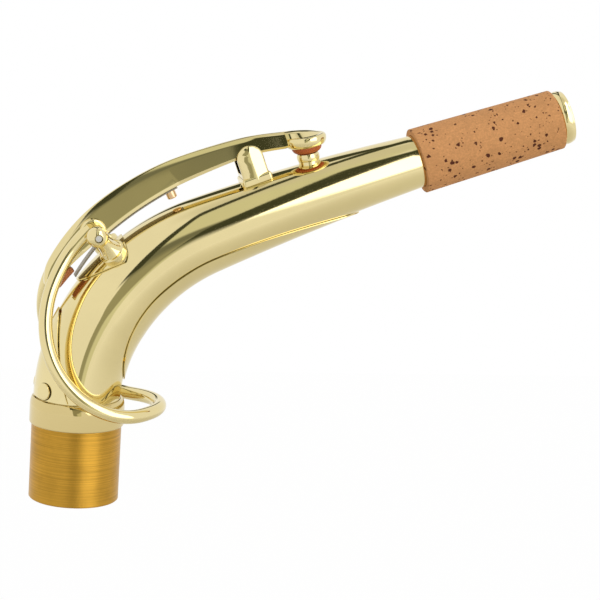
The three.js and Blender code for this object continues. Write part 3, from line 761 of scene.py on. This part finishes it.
def ring_point(from_front, side):
    """Point of the wire's middle line, turned askew below the lugs."""
    from_lug = RING_LENGTH - from_front
    x, z = ring_side(from_lug)
    far = side * ring_half_width(from_front)
    skew = RING_SKEW * eased(min(from_lug / LEG_ARC[0], 1))
    pivot = leg_start().x - LEG_ARC[0] / 4
    return Vector((pivot + (x - pivot) * math.cos(skew) + far * math.sin(skew),
                   far * math.cos(skew) - (x - pivot) * math.sin(skew), z))


def ring_points():
    """Points from the near lug round the tenon to the far lug."""
    nose = [RING_NOSE * (1 - math.cos(math.radians(angle))) for angle in spaced(0, 90, 110)]
    half = nose + spaced(RING_NOSE, RING_LENGTH, 280)[1:]
    return [ring_point(run, -1) for run in reversed(half)] + [ring_point(run, 1) for run in half[1:]]


# Octave vent
VENT_STATION = 93 * MM
VENT_TILT = math.radians(7)
VENT_HEIGHT = 2.6 * MM
PAD_SHOWING = 1.9 * MM


def vent_frame(lift=0.0):
    """Frame that stands on the tube at the vent, lifted by a height."""
    foot = standing(VENT_STATION, tube_radius(VENT_STATION), tilt=VENT_TILT)
    return foot @ Matrix.Translation((0, 0, lift))


class NeckOperator(bpy.types.Operator):
    """Step of the model that can be undone"""

    bl_options = {"REGISTER", "UNDO"}


# Edges of the tenon and of the collar's foot, and the collar's round shoulder
TENON_EDGE = 0.2 * MM
COLLAR_EDGE = 0.4 * MM
COLLAR_SHOULDER = (0.85 * MM, 2.6 * MM)


class MakeTenon(NeckOperator):
    """Turned tenon and the collar round its top"""

    bl_idname = "neck.tenon"
    bl_label = "Tenon and collar"

    def execute(self, context):
        sizes = context.scene.neck_sizes
        outside, inside, top = sizes.tenon_radius, sizes.tenon_radius - sizes.tenon_wall, sizes.tenon_length
        edge = TENON_EDGE
        tenon = turned([(inside + edge, 0), (outside - edge, 0), (outside, edge), (outside, top),
                        (inside, top), (inside, edge), (inside + edge, 0)], 128)
        kept(tenon, "turned_tenon", "neck", "bare_brass", ["tenon"])
        radius, low = sizes.collar_radius, sizes.collar_bottom
        high = low + sizes.collar_height
        bore, lip, step = outside + SOLDER_GAP, sizes.heel_radius + SOLDER_GAP, top + SOLDER_GAP
        foot = corner(radius, low, COLLAR_EDGE, 6, upper=False)
        shoulder = arc((radius - COLLAR_SHOULDER[0], high - COLLAR_SHOULDER[1]), COLLAR_SHOULDER, 0, 90, 14)
        collar = turned([(bore, low), *foot, *shoulder, (lip, high), (lip, step), (bore, step),
                         (bore, low)], 128)
        kept(collar, "rounded_collar", "neck", "lacquer", ["collar"], "collar_lacquer")
        return {"FINISHED"}


class MakeTube(NeckOperator):
    """Bent conical tube"""

    bl_idname = "neck.tube"
    bl_label = "Tube"

    def execute(self, context):
        sizes = context.scene.neck_sizes
        stations = spaced(sizes.tenon_length - BEND_START, NECK_END, 110)
        tube = turned(along([(tube_radius(station), station) for station in stations]), 96)
        bent(walled(faced(tube), sizes.tube_wall, -1))
        kept(cleaned(tube), "bent_tube", "neck", "lacquer", ["neck_tube"])
        return {"FINISHED"}


# Edge of the cork; swell, chamfer and round upper edge of the tip ring
CORK_EDGE = 0.25 * MM
TIP_SWELL = 0.28 * MM
TIP_CHAMFER = 0.5 * MM
TIP_EDGE = (0.32 * MM, 0.35 * MM)


class MakeMouthpieceEnd(NeckOperator):
    """Cork sleeve and the ring at the tip"""

    bl_idname = "neck.mouthpiece_end"
    bl_label = "Cork and tip ring"

    def execute(self, context):
        sizes = context.scene.neck_sizes
        start, end = CORK_START, CORK_START + sizes.cork_length
        foot = corner(sizes.cork_radius, start, CORK_EDGE, 5, upper=False)
        rim = corner(sizes.cork_tip_radius, end, CORK_EDGE, 5)
        narrowing, straight = sizes.cork_tip_radius - sizes.cork_radius, end - start - 2 * CORK_EDGE
        body = [(sizes.cork_radius + narrowing * share, start + CORK_EDGE + straight * share)
                for share in spaced(0.02, 0.98, 40)]
        seat = [(tube_radius(station) + SOLDER_GAP, station) for station in (end, start)]
        cork = turned(along([*foot, *body, *rim, *seat, foot[0]]), 96)
        kept(bent(cork), "cork_sleeve", "neck", "cork", ["mouthpiece_cork"])
        low, high, radius = NECK_END - sizes.tip_ring_length, NECK_END, sizes.tip_ring_radius
        inside, middle, half = sizes.tip_radius + SOLDER_GAP, (low + high) / 2, (high - low) / 2
        face = [(radius - TIP_SWELL * step * step, middle + (half - TIP_EDGE[1]) * step)
                for step in spaced(-1, 1, 12)]
        rim = arc((radius - TIP_SWELL - TIP_EDGE[0], high - TIP_EDGE[1]), TIP_EDGE, 0, 90, 6)[1:]
        profile = [(inside, low), (radius - TIP_CHAMFER, low), *face, *rim, (inside, high), (inside, low)]
        kept(bent(turned(along(profile), 96)), "tip_band", "neck", "lacquer", ["tip_ring"])
        return {"FINISHED"}


class MakePlates(NeckOperator):
    """Underbrace, back plate and saddle plate"""

    bl_idname = "neck.plates"
    bl_label = "Plates on the tube"

    def execute(self, context):
        sizes = context.scene.neck_sizes
        first, last = BRACE["full_from"] - BRACE["start"], BRACE["end"] - BRACE["full_to"]
        low = sizes.collar_bottom + sizes.collar_height + 0.2 * MM - BEND_START
        run = SADDLE["end"] - SADDLE["corner"] - SADDLE["start"]

        def brace_angle(at):
            lower, upper = rounded_end(at - BRACE["start"], first), rounded_end(BRACE["end"] - at, last)
            return BRACE["half"] * lower * upper

        def back_angle(at):
            return BACK["half"] * pointed_end(BACK["top"] - at, BACK["top"] - low, BACK_POWER)

        def saddle_angle(at):
            point = pointed_end(at - SADDLE["start"], run, SADDLE_POWER)
            return SADDLE["half"] * point * rounded_end(SADDLE["end"] - at, SADDLE["corner"])

        brace = plate(BRACE["start"], BRACE["end"], math.pi, brace_angle, BRACE_SHARE * sizes.brace_thickness)
        kept(brace, "leaf_brace", "neck", "lacquer", ["underbrace"])
        back = plate(low, BACK["top"], 0, back_angle, sizes.back_thickness)
        kept(back, "pointed_back_plate", "neck", "lacquer", ["back_plate"])
        saddle = plate(SADDLE["start"], SADDLE["end"], 0, saddle_angle, SADDLE_SHARE * sizes.saddle_thickness)
        kept(saddle, "pointed_saddle", "neck", "lacquer", ["saddle_plate"])
        return {"FINISHED"}


# Rivets: station, angle, edge and height, then (radius past the head's, height over the plate) in mm
RIVET_STATION = 3 * MM
RIVET_SPLAY = math.radians(34)
RIVET_EDGE = 0.16 * MM
RIVET_TOP = 0.68 * MM
RIVET_NECK = ((-0.22, -0.25), (-0.22, 0.14), (0, 0.2))
# Ring of painted shade round each head: a dark ring that stands in for the shadow line at the rivet's edge
RIVET_SHADE_RING = ((-0.3, -0.3), (0.12, -0.3), (0.12, 0.03), (-0.3, 0.08), (-0.3, -0.3))


class MakeRivets(NeckOperator):
    """Rivet heads on the back plate, each with a dark ring of painted shade round it"""

    bl_idname = "neck.rivets"
    bl_label = "Rivets"

    def execute(self, context):
        sizes = context.scene.neck_sizes
        radius, seat = sizes.rivet_radius, sizes.heel_radius + SOLDER_GAP + sizes.back_thickness
        neck, shade_profile = ([(radius + out * MM, seat + rise * MM) for out, rise in shape]
                       for shape in (RIVET_NECK, RIVET_SHADE_RING))
        rim = arc((radius - RIVET_EDGE, seat + 0.42 * MM), (RIVET_EDGE, RIVET_EDGE), 0, 75, 5)
        crown = [(radius * share, seat + RIVET_TOP - 0.1 * MM * share * share)
                 for share in (0.8, 0.6, 0.4, 0.2, 0.05, 0)]
        for side, place in SIDES:
            stand = standing(RIVET_STATION, splay=side * RIVET_SPLAY)
            head = put(turned([*neck, *rim, *crown], 64), stand)
            # Dark ring of painted shade round the head, standing in for the shadow line at its edge
            shade_ring = put(turned(shade_profile, 64), stand)
            kept(shade_ring, "rivet_shade_ring_" + place, "neck", "lacquer", ["plate_rivet_" + place], "tarnish")
            kept(head, "rivet_head_" + place, "neck", "lacquer", ["plate_rivet_" + place])
        return {"FINISHED"}


# Hinge and its posts: the foot, the flare above it and the ball, over the saddle plate
FLANGE_RADIUS = 3.7 * MM
FLANGE_HEIGHT = 0.75 * MM
FLANGE_EDGE = 0.25 * MM
POST_DEPTH = 1.2 * MM
BALL_ARC = (-47, 87)
# Flare of the post as (radius, height over the foot) in mm
POST_FLARE = ((3.0, 0.8), (2.75, 1.3), (2.45, 2.2), (2.15, 3.2))
POST_NECK_RADIUS = 1.95 * MM
RUNNING_GAP = 0.09 * MM
HINGE_END_GAP = 0.25 * MM
ROD_EDGE = 0.25 * MM
ROD_SUNK = 0.35 * MM
BORE_REACH = 30 * MM


def hinge_end():
    """Distance of the posts' outer ends from the middle of the hinge."""
    sizes = bpy.context.scene.neck_sizes
    return sizes.post_reach * math.sin(POST_SPLAY) + sizes.ball_radius


def capped_cut(piece, tool):
    """Closes the open end of a turned tool, then cuts with it."""
    only(tool)
    bpy.ops.object.mode_set(mode="EDIT")
    bpy.ops.mesh.select_all(action="DESELECT")
    bpy.ops.mesh.select_non_manifold()
    bpy.ops.mesh.edge_face_add()
    bpy.ops.object.mode_set(mode="OBJECT")
    return cut(piece, cleaned(tool))


class MakePosts(NeckOperator):
    """Ball posts, hinge rod and the key's hinge tube"""

    bl_idname = "neck.posts"
    bl_label = "Posts and hinge"

    def execute(self, context):
        sizes, key = context.scene.neck_sizes, context.scene.key_sizes
        foot = tube_radius(HINGE_STATION) + SOLDER_GAP + sizes.saddle_thickness + 0.2 * MM
        reach, ball = sizes.post_reach, sizes.ball_radius
        rim = corner(FLANGE_RADIUS, foot + FLANGE_HEIGHT, FLANGE_EDGE, 5)
        flare = [(radius * MM, foot + height * MM) for radius, height in POST_FLARE]
        neck = (POST_NECK_RADIUS, reach - ball - 0.2 * MM)
        head = arc((0, reach), (ball, ball), *BALL_ARC, 26)
        profile = [(FLANGE_RADIUS, foot - POST_DEPTH), *rim, *flare, neck, *head, (0, reach + ball)]
        bore = key.rod_radius + RUNNING_GAP
        for side, place in SIDES:
            post = put(turned(profile, 64), standing(HINGE_STATION, splay=side * POST_SPLAY))
            drill = [(0.6 * key.rod_radius, -BORE_REACH), (bore, -BORE_REACH), (bore, BORE_REACH)]
            drill = across(turned(drill, 32, fill=True))
            kept(cleaned(capped_cut(post, drill)), "ball_post_" + place, "neck", "lacquer", ["post_" + place])
        half, radius = hinge_end() - ROD_SUNK, key.rod_radius
        tip = corner(radius, half, ROD_EDGE, 4)
        rod = turned([(radius - ROD_EDGE, -half), (radius, ROD_EDGE - half), *tip, (0, half)], 32, fill=True)
        kept(across(rod), "steel_rod", "neck", "steel", ["hinge_rod"])
        inner, outer = reach * math.sin(POST_SPLAY) - ball - HINGE_END_GAP, key.hinge_tube_radius
        tube = turned([(bore, -inner), (outer, -inner), (outer, inner), (bore, inner), (bore, -inner)], 48)
        kept(across(tube), "key_tube", "octave_key", "lacquer", ["hinge_tube"])
        return {"FINISHED"}


class MakeArm(NeckOperator):
    """Curved arm of the octave key, with the tongue on its cup"""

    bl_idname = "neck.arm"
    bl_label = "Key arm"

    def execute(self, context):
        key = context.scene.key_sizes
        sections = arm_sections(90, key.arm_width + ARM_FOOT_EXTRA)
        end, low, top, width, crest = sections[-1]
        sections.append((end + ARM_END[0], low, top - ARM_END[1], width, crest))
        sections += tongue_sections(end + TONGUE_START[0], top - TONGUE_START[1])
        bar = straight_bar([section[:4] for section in sections], ARM_CORNERS)
        for vertex in bar.data.vertices:
            station = vertex.co.z - BEND_START
            _, low, top, _, crest = min(sections, key=lambda section: abs(section[0] - station))
            rise = (vertex.co.x - low) / (top - low)
            vertex.co.y *= 1 - (1 - crest) * rise if rise > 0.01 else SOLE_SHARE
        kept(cleaned(bent(bar), 30), "curved_arm", "octave_key", "lacquer", ["key_arm"])
        return {"FINISHED"}


# Lugs that carry the ring on the hinge tube
LUG_WIDTH = 2.7 * MM
LUG_RADIUS = 3.5 * MM
LUG_EDGE = 0.6 * MM
LUG_LIFT = 0.7 * MM
SIDE_GAP = 0.35 * MM


class MakeRing(NeckOperator):
    """Wire ring of the octave key and its lugs"""

    bl_idname = "neck.ring"
    bl_label = "Key ring"

    def execute(self, context):
        key = context.scene.key_sizes
        line = drawn_line("ring_line", ring_points())
        line.data.bevel_depth = key.wire_radius
        line.data.bevel_resolution = 10
        line.data.use_fill_caps = True
        only(line)
        bpy.ops.object.convert(target="MESH")
        wire = cleaned(bpy.context.active_object, 60)
        lift = neck_point(HINGE_STATION, hinge_height() + LUG_LIFT) - hinge_point()
        half = LUG_WIDTH / 2
        profile = [(LUG_RADIUS - LUG_EDGE, -half), *corner(LUG_RADIUS, -half, LUG_EDGE, 5, upper=False),
                   *corner(LUG_RADIUS, half, LUG_EDGE, 5), (0, half)]
        lugs = []
        for side in (-1, 1):
            lug = across(turned(profile, 56, fill=True), side * (key.arm_width + SIDE_GAP + LUG_WIDTH) / 2)
            lugs.append(put(lug, Matrix.Translation(lift)))
        kept(joined(wire, *lugs), "wire_ring", "octave_key", "lacquer", ["key_ring"])
        return {"FINISHED"}


# Chimney of the octave vent, and the pad's face
VENT_RADIUS = 2.85 * MM
VENT_BORE = 1 * MM
VENT_DEPTH = 2.2 * MM
VENT_EDGE = 0.15 * MM
PAD_FACE_RADIUS = 2.6 * MM
CUP_ROOF = 0.6 * MM


class MakePad(NeckOperator):
    """Octave vent, pad and pad cup"""

    bl_idname = "neck.pad"
    bl_label = "Vent, pad and cup"

    def execute(self, context):
        key = context.scene.key_sizes
        foot = corner(VENT_RADIUS, 0.52 * MM, VENT_EDGE, 4)
        barrel = arc((2.35 * MM, 1.5 * MM), (0.75 * MM, 1.35 * MM), -45, 50, 16)
        rim = [(VENT_BORE + VENT_EDGE, VENT_HEIGHT), (VENT_BORE, VENT_HEIGHT - VENT_EDGE),
               (VENT_BORE, -VENT_DEPTH)]
        vent = turned([(VENT_RADIUS, -VENT_DEPTH), *foot, *barrel, *rim, (VENT_RADIUS, -VENT_DEPTH)], 64)
        kept(put(vent, vent_frame()), "vent_chimney", "neck", "lacquer", ["octave_vent"])
        radius, inside = key.pad_radius, key.cup_height + PAD_SHOWING - CUP_ROOF - SOLDER_GAP
        swell = (radius - PAD_FACE_RADIUS, PAD_SHOWING - SOLDER_GAP)
        bulge = arc((PAD_FACE_RADIUS, PAD_SHOWING), swell, -90, 0, 14)
        pad = turned([(0.3 * MM, SOLDER_GAP), *bulge, (radius, inside), (0, inside)], 64, fill=True)
        kept(put(pad, vent_frame(VENT_HEIGHT)), "leather_pad", "octave_key", "leather", ["octave_pad"])
        outer, height, bore = key.cup_radius, key.cup_height, radius + SOLDER_GAP
        waist, roof = 0.68 * height, height - CUP_ROOF
        belly = (outer - key.cup_mouth + 0.25 * MM, 0.7 * height)
        lip = arc((outer - belly[0], waist), belly, -75, 0, 12)
        shoulder = arc((outer - 0.9 * MM, waist), (0.9 * MM, height - waist), 0, 90, 12)[1:]
        cup = turned([(0.2 * MM, roof), (bore, roof), (bore, 0), *lip, *shoulder, (0, height)], 72, fill=True)
        put(cup, vent_frame(VENT_HEIGHT + PAD_SHOWING))
        kept(cup, "pad_cup_shell", "octave_key", "lacquer", ["pad_cup"])
        return {"FINISHED"}


# Guide beside the arm: its station, half the cheeks' width, their height and half the foot's length
GUIDE_STATION = 77.8 * MM
CHEEK_HALF = 3.6 * MM
CHEEK_TOP = 9.6 * MM
GUIDE_FOOT = 4.2 * MM
# Steps of a cheek outward in mm, each with the shares of width and height and the share of its level
CHEEK_STEPS = ((0.75, 1, 1, 0), (0.4, 0.86, 0.96, 0.35), (0.72, 0.06, 0.74, 0.3))


def block(size, height, rounding):
    """Bevelled block with its centre at a height."""
    nothing_selected()
    bpy.ops.mesh.primitive_cube_add(size=1, location=(0, 0, height))
    piece = bpy.context.active_object
    piece.scale = size
    bpy.ops.object.transform_apply(location=True, scale=True)
    modified(piece, "BEVEL", width=rounding, segments=4)
    return cleaned(piece)


def ridged_cheek(side, inner):
    """Arched cheek whose outer face rises to an upright ridge."""
    middle, foot = CHEEK_TOP - CHEEK_HALF, -1.2 * MM
    nothing_selected()
    bpy.ops.mesh.primitive_circle_add(vertices=64, radius=CHEEK_HALF, fill_type="NGON",
                                      location=(0, side * inner, middle), rotation=(math.radians(90), 0, 0))
    piece = bpy.context.active_object
    bpy.ops.object.transform_apply(location=True, rotation=True)
    for vertex in piece.data.vertices:
        if vertex.co.z < middle - 0.01 * MM:
            drop = (middle - vertex.co.z) / CHEEK_HALF
            across_share = min(abs(vertex.co.x) / CHEEK_HALF * 6, 1) if abs(vertex.co.x) > 1e-6 else 0
            flare = 0.55 * MM * max(drop - 0.55, 0) ** 2 / 0.2
            vertex.co.x = math.copysign(across_share, vertex.co.x) * (CHEEK_HALF + flare)
            vertex.co.z = middle + (foot - middle) * min(drop * 1.02, 1)
    edited(piece)
    out = 0
    for step, wide, high, level in CHEEK_STEPS:
        out += step * MM
        bpy.ops.mesh.extrude_region_move(TRANSFORM_OT_translate={"value": (0, side * step * MM, 0)})
        centre = (0, side * (inner + out), level * CHEEK_TOP)
        bpy.ops.transform.resize(value=(wide, 1, high), center_override=centre)
    bpy.ops.object.mode_set(mode="OBJECT")
    return cleaned(softened(piece, 0.12 * MM, angle=28), 30)


class MakeGuide(NeckOperator):
    """Guide with two ridged cheeks beside the arm"""

    bl_idname = "neck.guide"
    bl_label = "Key guide"

    def execute(self, context):
        inner = context.scene.key_sizes.arm_width / 2 + SIDE_GAP
        cheeks = [ridged_cheek(side, inner) for side in (-1, 1)]
        base = block((2 * GUIDE_FOOT, 2 * (inner + 1.85 * MM), 2.6 * MM), 0.05 * MM, 0.75 * MM)
        floor = block((2 * CHEEK_HALF, 2 * inner + 0.5 * MM, 2.4 * MM), 1.2 * MM, 0.2 * MM)
        guide = put(joined(base, floor, *cheeks), standing(GUIDE_STATION, tube_radius(GUIDE_STATION)))
        kept(guide, "arm_guide", "neck", "lacquer", ["key_guide"])
        return {"FINISHED"}


# Flat spring, its screw and the bumper
SCREW_STATION = 56 * MM
SCREW_RADIUS = 1.35 * MM
SCREW_EDGE = 0.3 * MM
SCREW_HEIGHT = 2 * MM
SPRING_TIP_STATION = 28.4 * MM
SPRING_ROOT_STATION = 57.7 * MM
SPRING_WIDTHS = (3.3 * MM, 3.9 * MM)
SPRING_REST_GAP = 0.7 * MM
BUMPER_START = 24.4 * MM
BUMPER_END = 29.4 * MM
BUMPER_DEPTH = 1.75 * MM
BUMPER_WIDTH = 3.8 * MM


class MakeSpring(NeckOperator):
    """Flat spring, its screw, and the cork bumper"""

    bl_idname = "neck.spring"
    bl_label = "Spring and bumper"

    def execute(self, context):
        sizes, key = context.scene.neck_sizes, context.scene.key_sizes
        thick, leave = key.spring_thickness, HINGE_STATION + key.hinge_tube_radius
        saddle_top = tube_radius(SPRING_TIP_STATION) + SOLDER_GAP + SADDLE_SHARE * sizes.saddle_thickness
        leave_height = underside(leave) - SOLDER_GAP - thick

        def height_at(station):
            if station >= leave:
                return underside(station) - SOLDER_GAP - thick
            share = (leave - station) / (leave - SPRING_TIP_STATION)
            return leave_height + (saddle_top + SPRING_REST_GAP - leave_height) * share

        def width_at(station):
            share = (station - SPRING_TIP_STATION) / (SPRING_ROOT_STATION - SPRING_TIP_STATION)
            return SPRING_WIDTHS[0] + (SPRING_WIDTHS[1] - SPRING_WIDTHS[0]) * share

        stations = [*spaced(SPRING_TIP_STATION, leave, 16), *spaced(leave, SPRING_ROOT_STATION, 24)[1:]]
        spring = straight_bar([(at, height_at(at), height_at(at) + thick, width_at(at)) for at in stations])
        spring = cleaned(bent(softened(spring, 0.08 * MM, 2)))
        kept(spring, "leaf_spring", "octave_key", "spring_steel", ["flat_spring"])
        top = underside(SCREW_STATION) - 2 * SOLDER_GAP - thick
        edge = corner(SCREW_RADIUS, -SCREW_HEIGHT, SCREW_EDGE, 5, upper=False)[::-1]
        screw = turned([(SCREW_RADIUS, 0), *edge, (0, -SCREW_HEIGHT)], 40, fill=True)
        put(screw, standing(SCREW_STATION, top))
        kept(screw, "screw_head", "octave_key", "bare_brass", ["spring_screw"], "screw_brass")
        tops = [(at, underside(at) - SOLDER_GAP) for at in spaced(BUMPER_START, BUMPER_END, 10)]
        bumper = straight_bar([(at, top - BUMPER_DEPTH, top, BUMPER_WIDTH) for at, top in tops])
        bumper = cleaned(bent(softened(bumper, 0.3 * MM)))
        kept(bumper, "tail_bumper", "octave_key", "cork", ["tail_cork"], "bumper")
        return {"FINISHED"}


# Camera of the photograph
CAMERA = {"azimuth": -12.865, "elevation": 11.357, "roll": 3.67, "distance": 642.4 * MM, "lens": 140.36}
LOOK_AT = Vector((60.026, 0, 55.921)) * MM
FLOOR_HEIGHT = -120 * MM
FLOOR_SIZE = 1.3
# Light tent, what is seen through its opening, its floor, top, shaded part, lamp and dark edges
TENT = (0.94, 0.935, 0.91)
OPENING = (0.72, 0.73, 0.58)
TENT_FLOOR = (0.80, 0.80, 0.78)
TENT_TOP = (0.70, 0.69, 0.62)
SHADE = (0.36, 0.355, 0.25)
LAMP = (2.4, 2.4, 2.4)
DARK_EDGE = (0.055, 0.06, 0.035)


def camera_axes():
    """The camera's right, up and back."""
    azimuth, elevation = math.radians(CAMERA["azimuth"]), math.radians(CAMERA["elevation"])
    back = Vector((math.sin(azimuth) * math.cos(elevation), -math.cos(azimuth) * math.cos(elevation),
                   math.sin(elevation)))
    right = Vector((math.cos(azimuth), math.sin(azimuth), 0))
    up = back.cross(right)
    roll = math.radians(CAMERA["roll"])
    return right * math.cos(roll) + up * math.sin(roll), up * math.cos(roll) - right * math.sin(roll), back


class MakeStage(NeckOperator):
    """Camera, floor, world and lamps"""

    bl_idname = "neck.stage"
    bl_label = "Stage"

    def execute(self, context):
        scene = context.scene
        scene.view_settings.view_transform = "Standard"
        right, up, back = camera_axes()
        camera = bpy.data.cameras.new("camera")
        camera.lens = CAMERA["lens"]
        camera.sensor_width = 36
        holder = bpy.data.objects.new("camera", camera)
        holder.matrix_world = (Matrix.Translation(LOOK_AT + back * CAMERA["distance"])
                               @ Matrix((right, up, back)).transposed().to_4x4())
        scene.collection.objects.link(holder)
        scene.camera = holder
        nothing_selected()
        bpy.ops.mesh.primitive_plane_add(size=FLOOR_SIZE, location=(LOOK_AT.x, 0, FLOOR_HEIGHT))
        floor = bpy.context.active_object
        bpy.ops.object.transform_apply(location=True)
        floor.name = "floor"
        floor.data.materials.append(floor_paint())
        studio_world(scene)
        softbox("top_softbox", azimuth=-40, elevation=62, distance=1.6, width=0.5, power=2)
        return {"FINISHED"}


def softbox(name, azimuth, elevation, distance, width, power):
    """Area lamp in a direction from the part, facing it."""
    around, rise = math.radians(azimuth), math.radians(elevation)
    away = Vector((math.cos(around) * math.cos(rise), math.sin(around) * math.cos(rise), math.sin(rise)))
    light = bpy.data.lights.new(name, "AREA")
    light.shape = "RECTANGLE"
    light.size = light.size_y = width
    light.energy = power
    holder = bpy.data.objects.new(name, light)
    turn = (-away).to_track_quat("-Z", "Y").to_matrix().to_4x4()
    holder.matrix_world = Matrix.Translation(LOOK_AT + away * distance) @ turn
    bpy.context.scene.collection.objects.link(holder)


def floor_paint():
    """White to the camera, and paler to polished metal the further off it lies."""
    paint = Paint(bpy.data.materials.new("pale_floor"))
    rays = paint.node("LightPath")
    middle = (LOOK_AT.x, 0, FLOOR_HEIGHT)
    spot = paint.node("VectorMath", {"operation": "DISTANCE"}, {0: paint.place(), 1: middle})
    diffuse = paint.node("BsdfDiffuse", {}, {"Color": (0.68, 0.66, 0.6, 1)})
    glow = paint.node("Emission", {}, {"Color": (1, 1, 1, 1), "Strength": 1.0})
    off = Value(paint, spot.outputs["Value"]).over(0.02, 0.75)
    shine = Value(paint, rays.outputs["Is Glossy Ray"]) * off * 0.9
    seen = shine.math("MAXIMUM", Value(paint, rays.outputs["Is Camera Ray"]) * 0.985)
    mix = paint.node("MixShader", {}, {0: seen, 1: diffuse.outputs[0], 2: glow.outputs[0]})
    paint.node("OutputMaterial", {}, {"Surface": mix.outputs[0]})
    return paint.owner


def studio_world(scene):
    """Light tent that is open round the camera, with dark edges at the opening."""
    world = bpy.data.worlds.new("studio")
    scene.world = world
    paint = Paint(world)
    direction = paint.node("TexCoord").outputs["Generated"]
    split = paint.node("SeparateXYZ", {}, {0: direction})
    x, y, z = (Value(paint, split.outputs[axis]) for axis in "XYZ")
    around = y.math("ARCTAN2", x) * math.degrees(1)
    rise = z.math("ARCSINE") * math.degrees(1)
    # The opening lies between two upright planes on the camera's side
    left = x * 0.944 - y * 0.289 + z * 0.157
    right = x + y * 0.07 + 0.012
    opening = left.over(-0.01, 0.01) * (1 - right.over(-0.01, 0.01))
    # Dark edge at each side of the opening, and a sill below it
    left_dark = (1 - (left.math("ABSOLUTE") + z * 0.08 - 0.105).over(-0.008, 0.008)) * rise.over(17, 22)
    right_dark = (1 - (right.math("ABSOLUTE") + z * 0.03 - 0.085).over(-0.008, 0.008)) * rise.over(4, 19)
    right_dark = right_dark * (1 - rise.over(60, 66))
    sill = opening * rise.over(14, 25) * (1 - rise.over(30, 37)) * 0.8
    dark = left_dark.math("MAXIMUM", right_dark).math("MAXIMUM", sill)
    # Shaded strip inside the left edge, wider above the horizon
    shade_width = 0.13 + rise.over(-4, 4) * 0.15
    shade = opening * (1 - (left - shade_width).over(0, 0.06)) * (1 - rise.over(18, 26))
    # Bright lamp right of the opening, cut off along a slanting line
    slant = rise + (around + 76) * 1.6
    soft = right.over(0.07, 0.082) * slant.over(0.5, 5) * rise.over(-11, -3) * (1 - rise.over(54, 57))
    soft = soft * (1 - around.over(-38, -34))
    colour = paint.mix(rise.over(-40, -12), TENT_FLOOR, paint.mix(opening, TENT, OPENING))
    for share, tinge in ((rise.over(62, 84), TENT_TOP), (shade, SHADE), (soft, LAMP), (dark, DARK_EDGE)):
        colour = paint.mix(share, colour, tinge)
    rays = paint.node("LightPath")
    seen = paint.mix(Value(paint, rays.outputs["Is Camera Ray"]), colour, (1.0, 1.0, 1.0))
    background = paint.node("Background", {}, {"Color": seen, "Strength": 1.0})
    paint.node("OutputWorld", {}, {"Surface": background.outputs[0]})


STEPS = (MakeTenon, MakeTube, MakeMouthpieceEnd, MakePlates, MakeRivets, MakePosts, MakeArm, MakeRing,
         MakePad, MakeGuide, MakeSpring, MakeStage)


class NeckPanel(bpy.types.Panel):
    """Sizes, colours and steps of the neck"""

    bl_idname = "VIEW3D_PT_neck"
    bl_label = "Saxophone Neck"
    bl_space_type = "VIEW_3D"
    bl_region_type = "UI"
    bl_category = "Saxophone Neck"

    def draw(self, context):
        for group in ("neck_sizes", "key_sizes", "neck_colours"):
            box = self.layout.box()
            sizes = getattr(context.scene, group)
            for name in sizes.__annotations__:
                box.prop(sizes, name, text=name.replace("_", " ").capitalize())
        for step in STEPS:
            self.layout.operator(step.bl_idname)


CLASSES = (NeckSizes, KeySizes, Colours, *STEPS, NeckPanel)


def register():
    for group in CLASSES:
        bpy.utils.register_class(group)
    bpy.types.Scene.neck_sizes = bpy.props.PointerProperty(type=NeckSizes)
    bpy.types.Scene.key_sizes = bpy.props.PointerProperty(type=KeySizes)
    bpy.types.Scene.neck_colours = bpy.props.PointerProperty(type=Colours)


def unregister():
    del bpy.types.Scene.neck_colours
    del bpy.types.Scene.key_sizes
    del bpy.types.Scene.neck_sizes
    for group in reversed(CLASSES):
        bpy.utils.unregister_class(group)


def main():
    """Makes the whole neck."""
    register()
    for step in STEPS:
        group, name = step.bl_idname.split(".")
        getattr(getattr(bpy.ops, group), name)()
    bpy.context.view_layer.update()


if __name__ == "__main__":
    main()
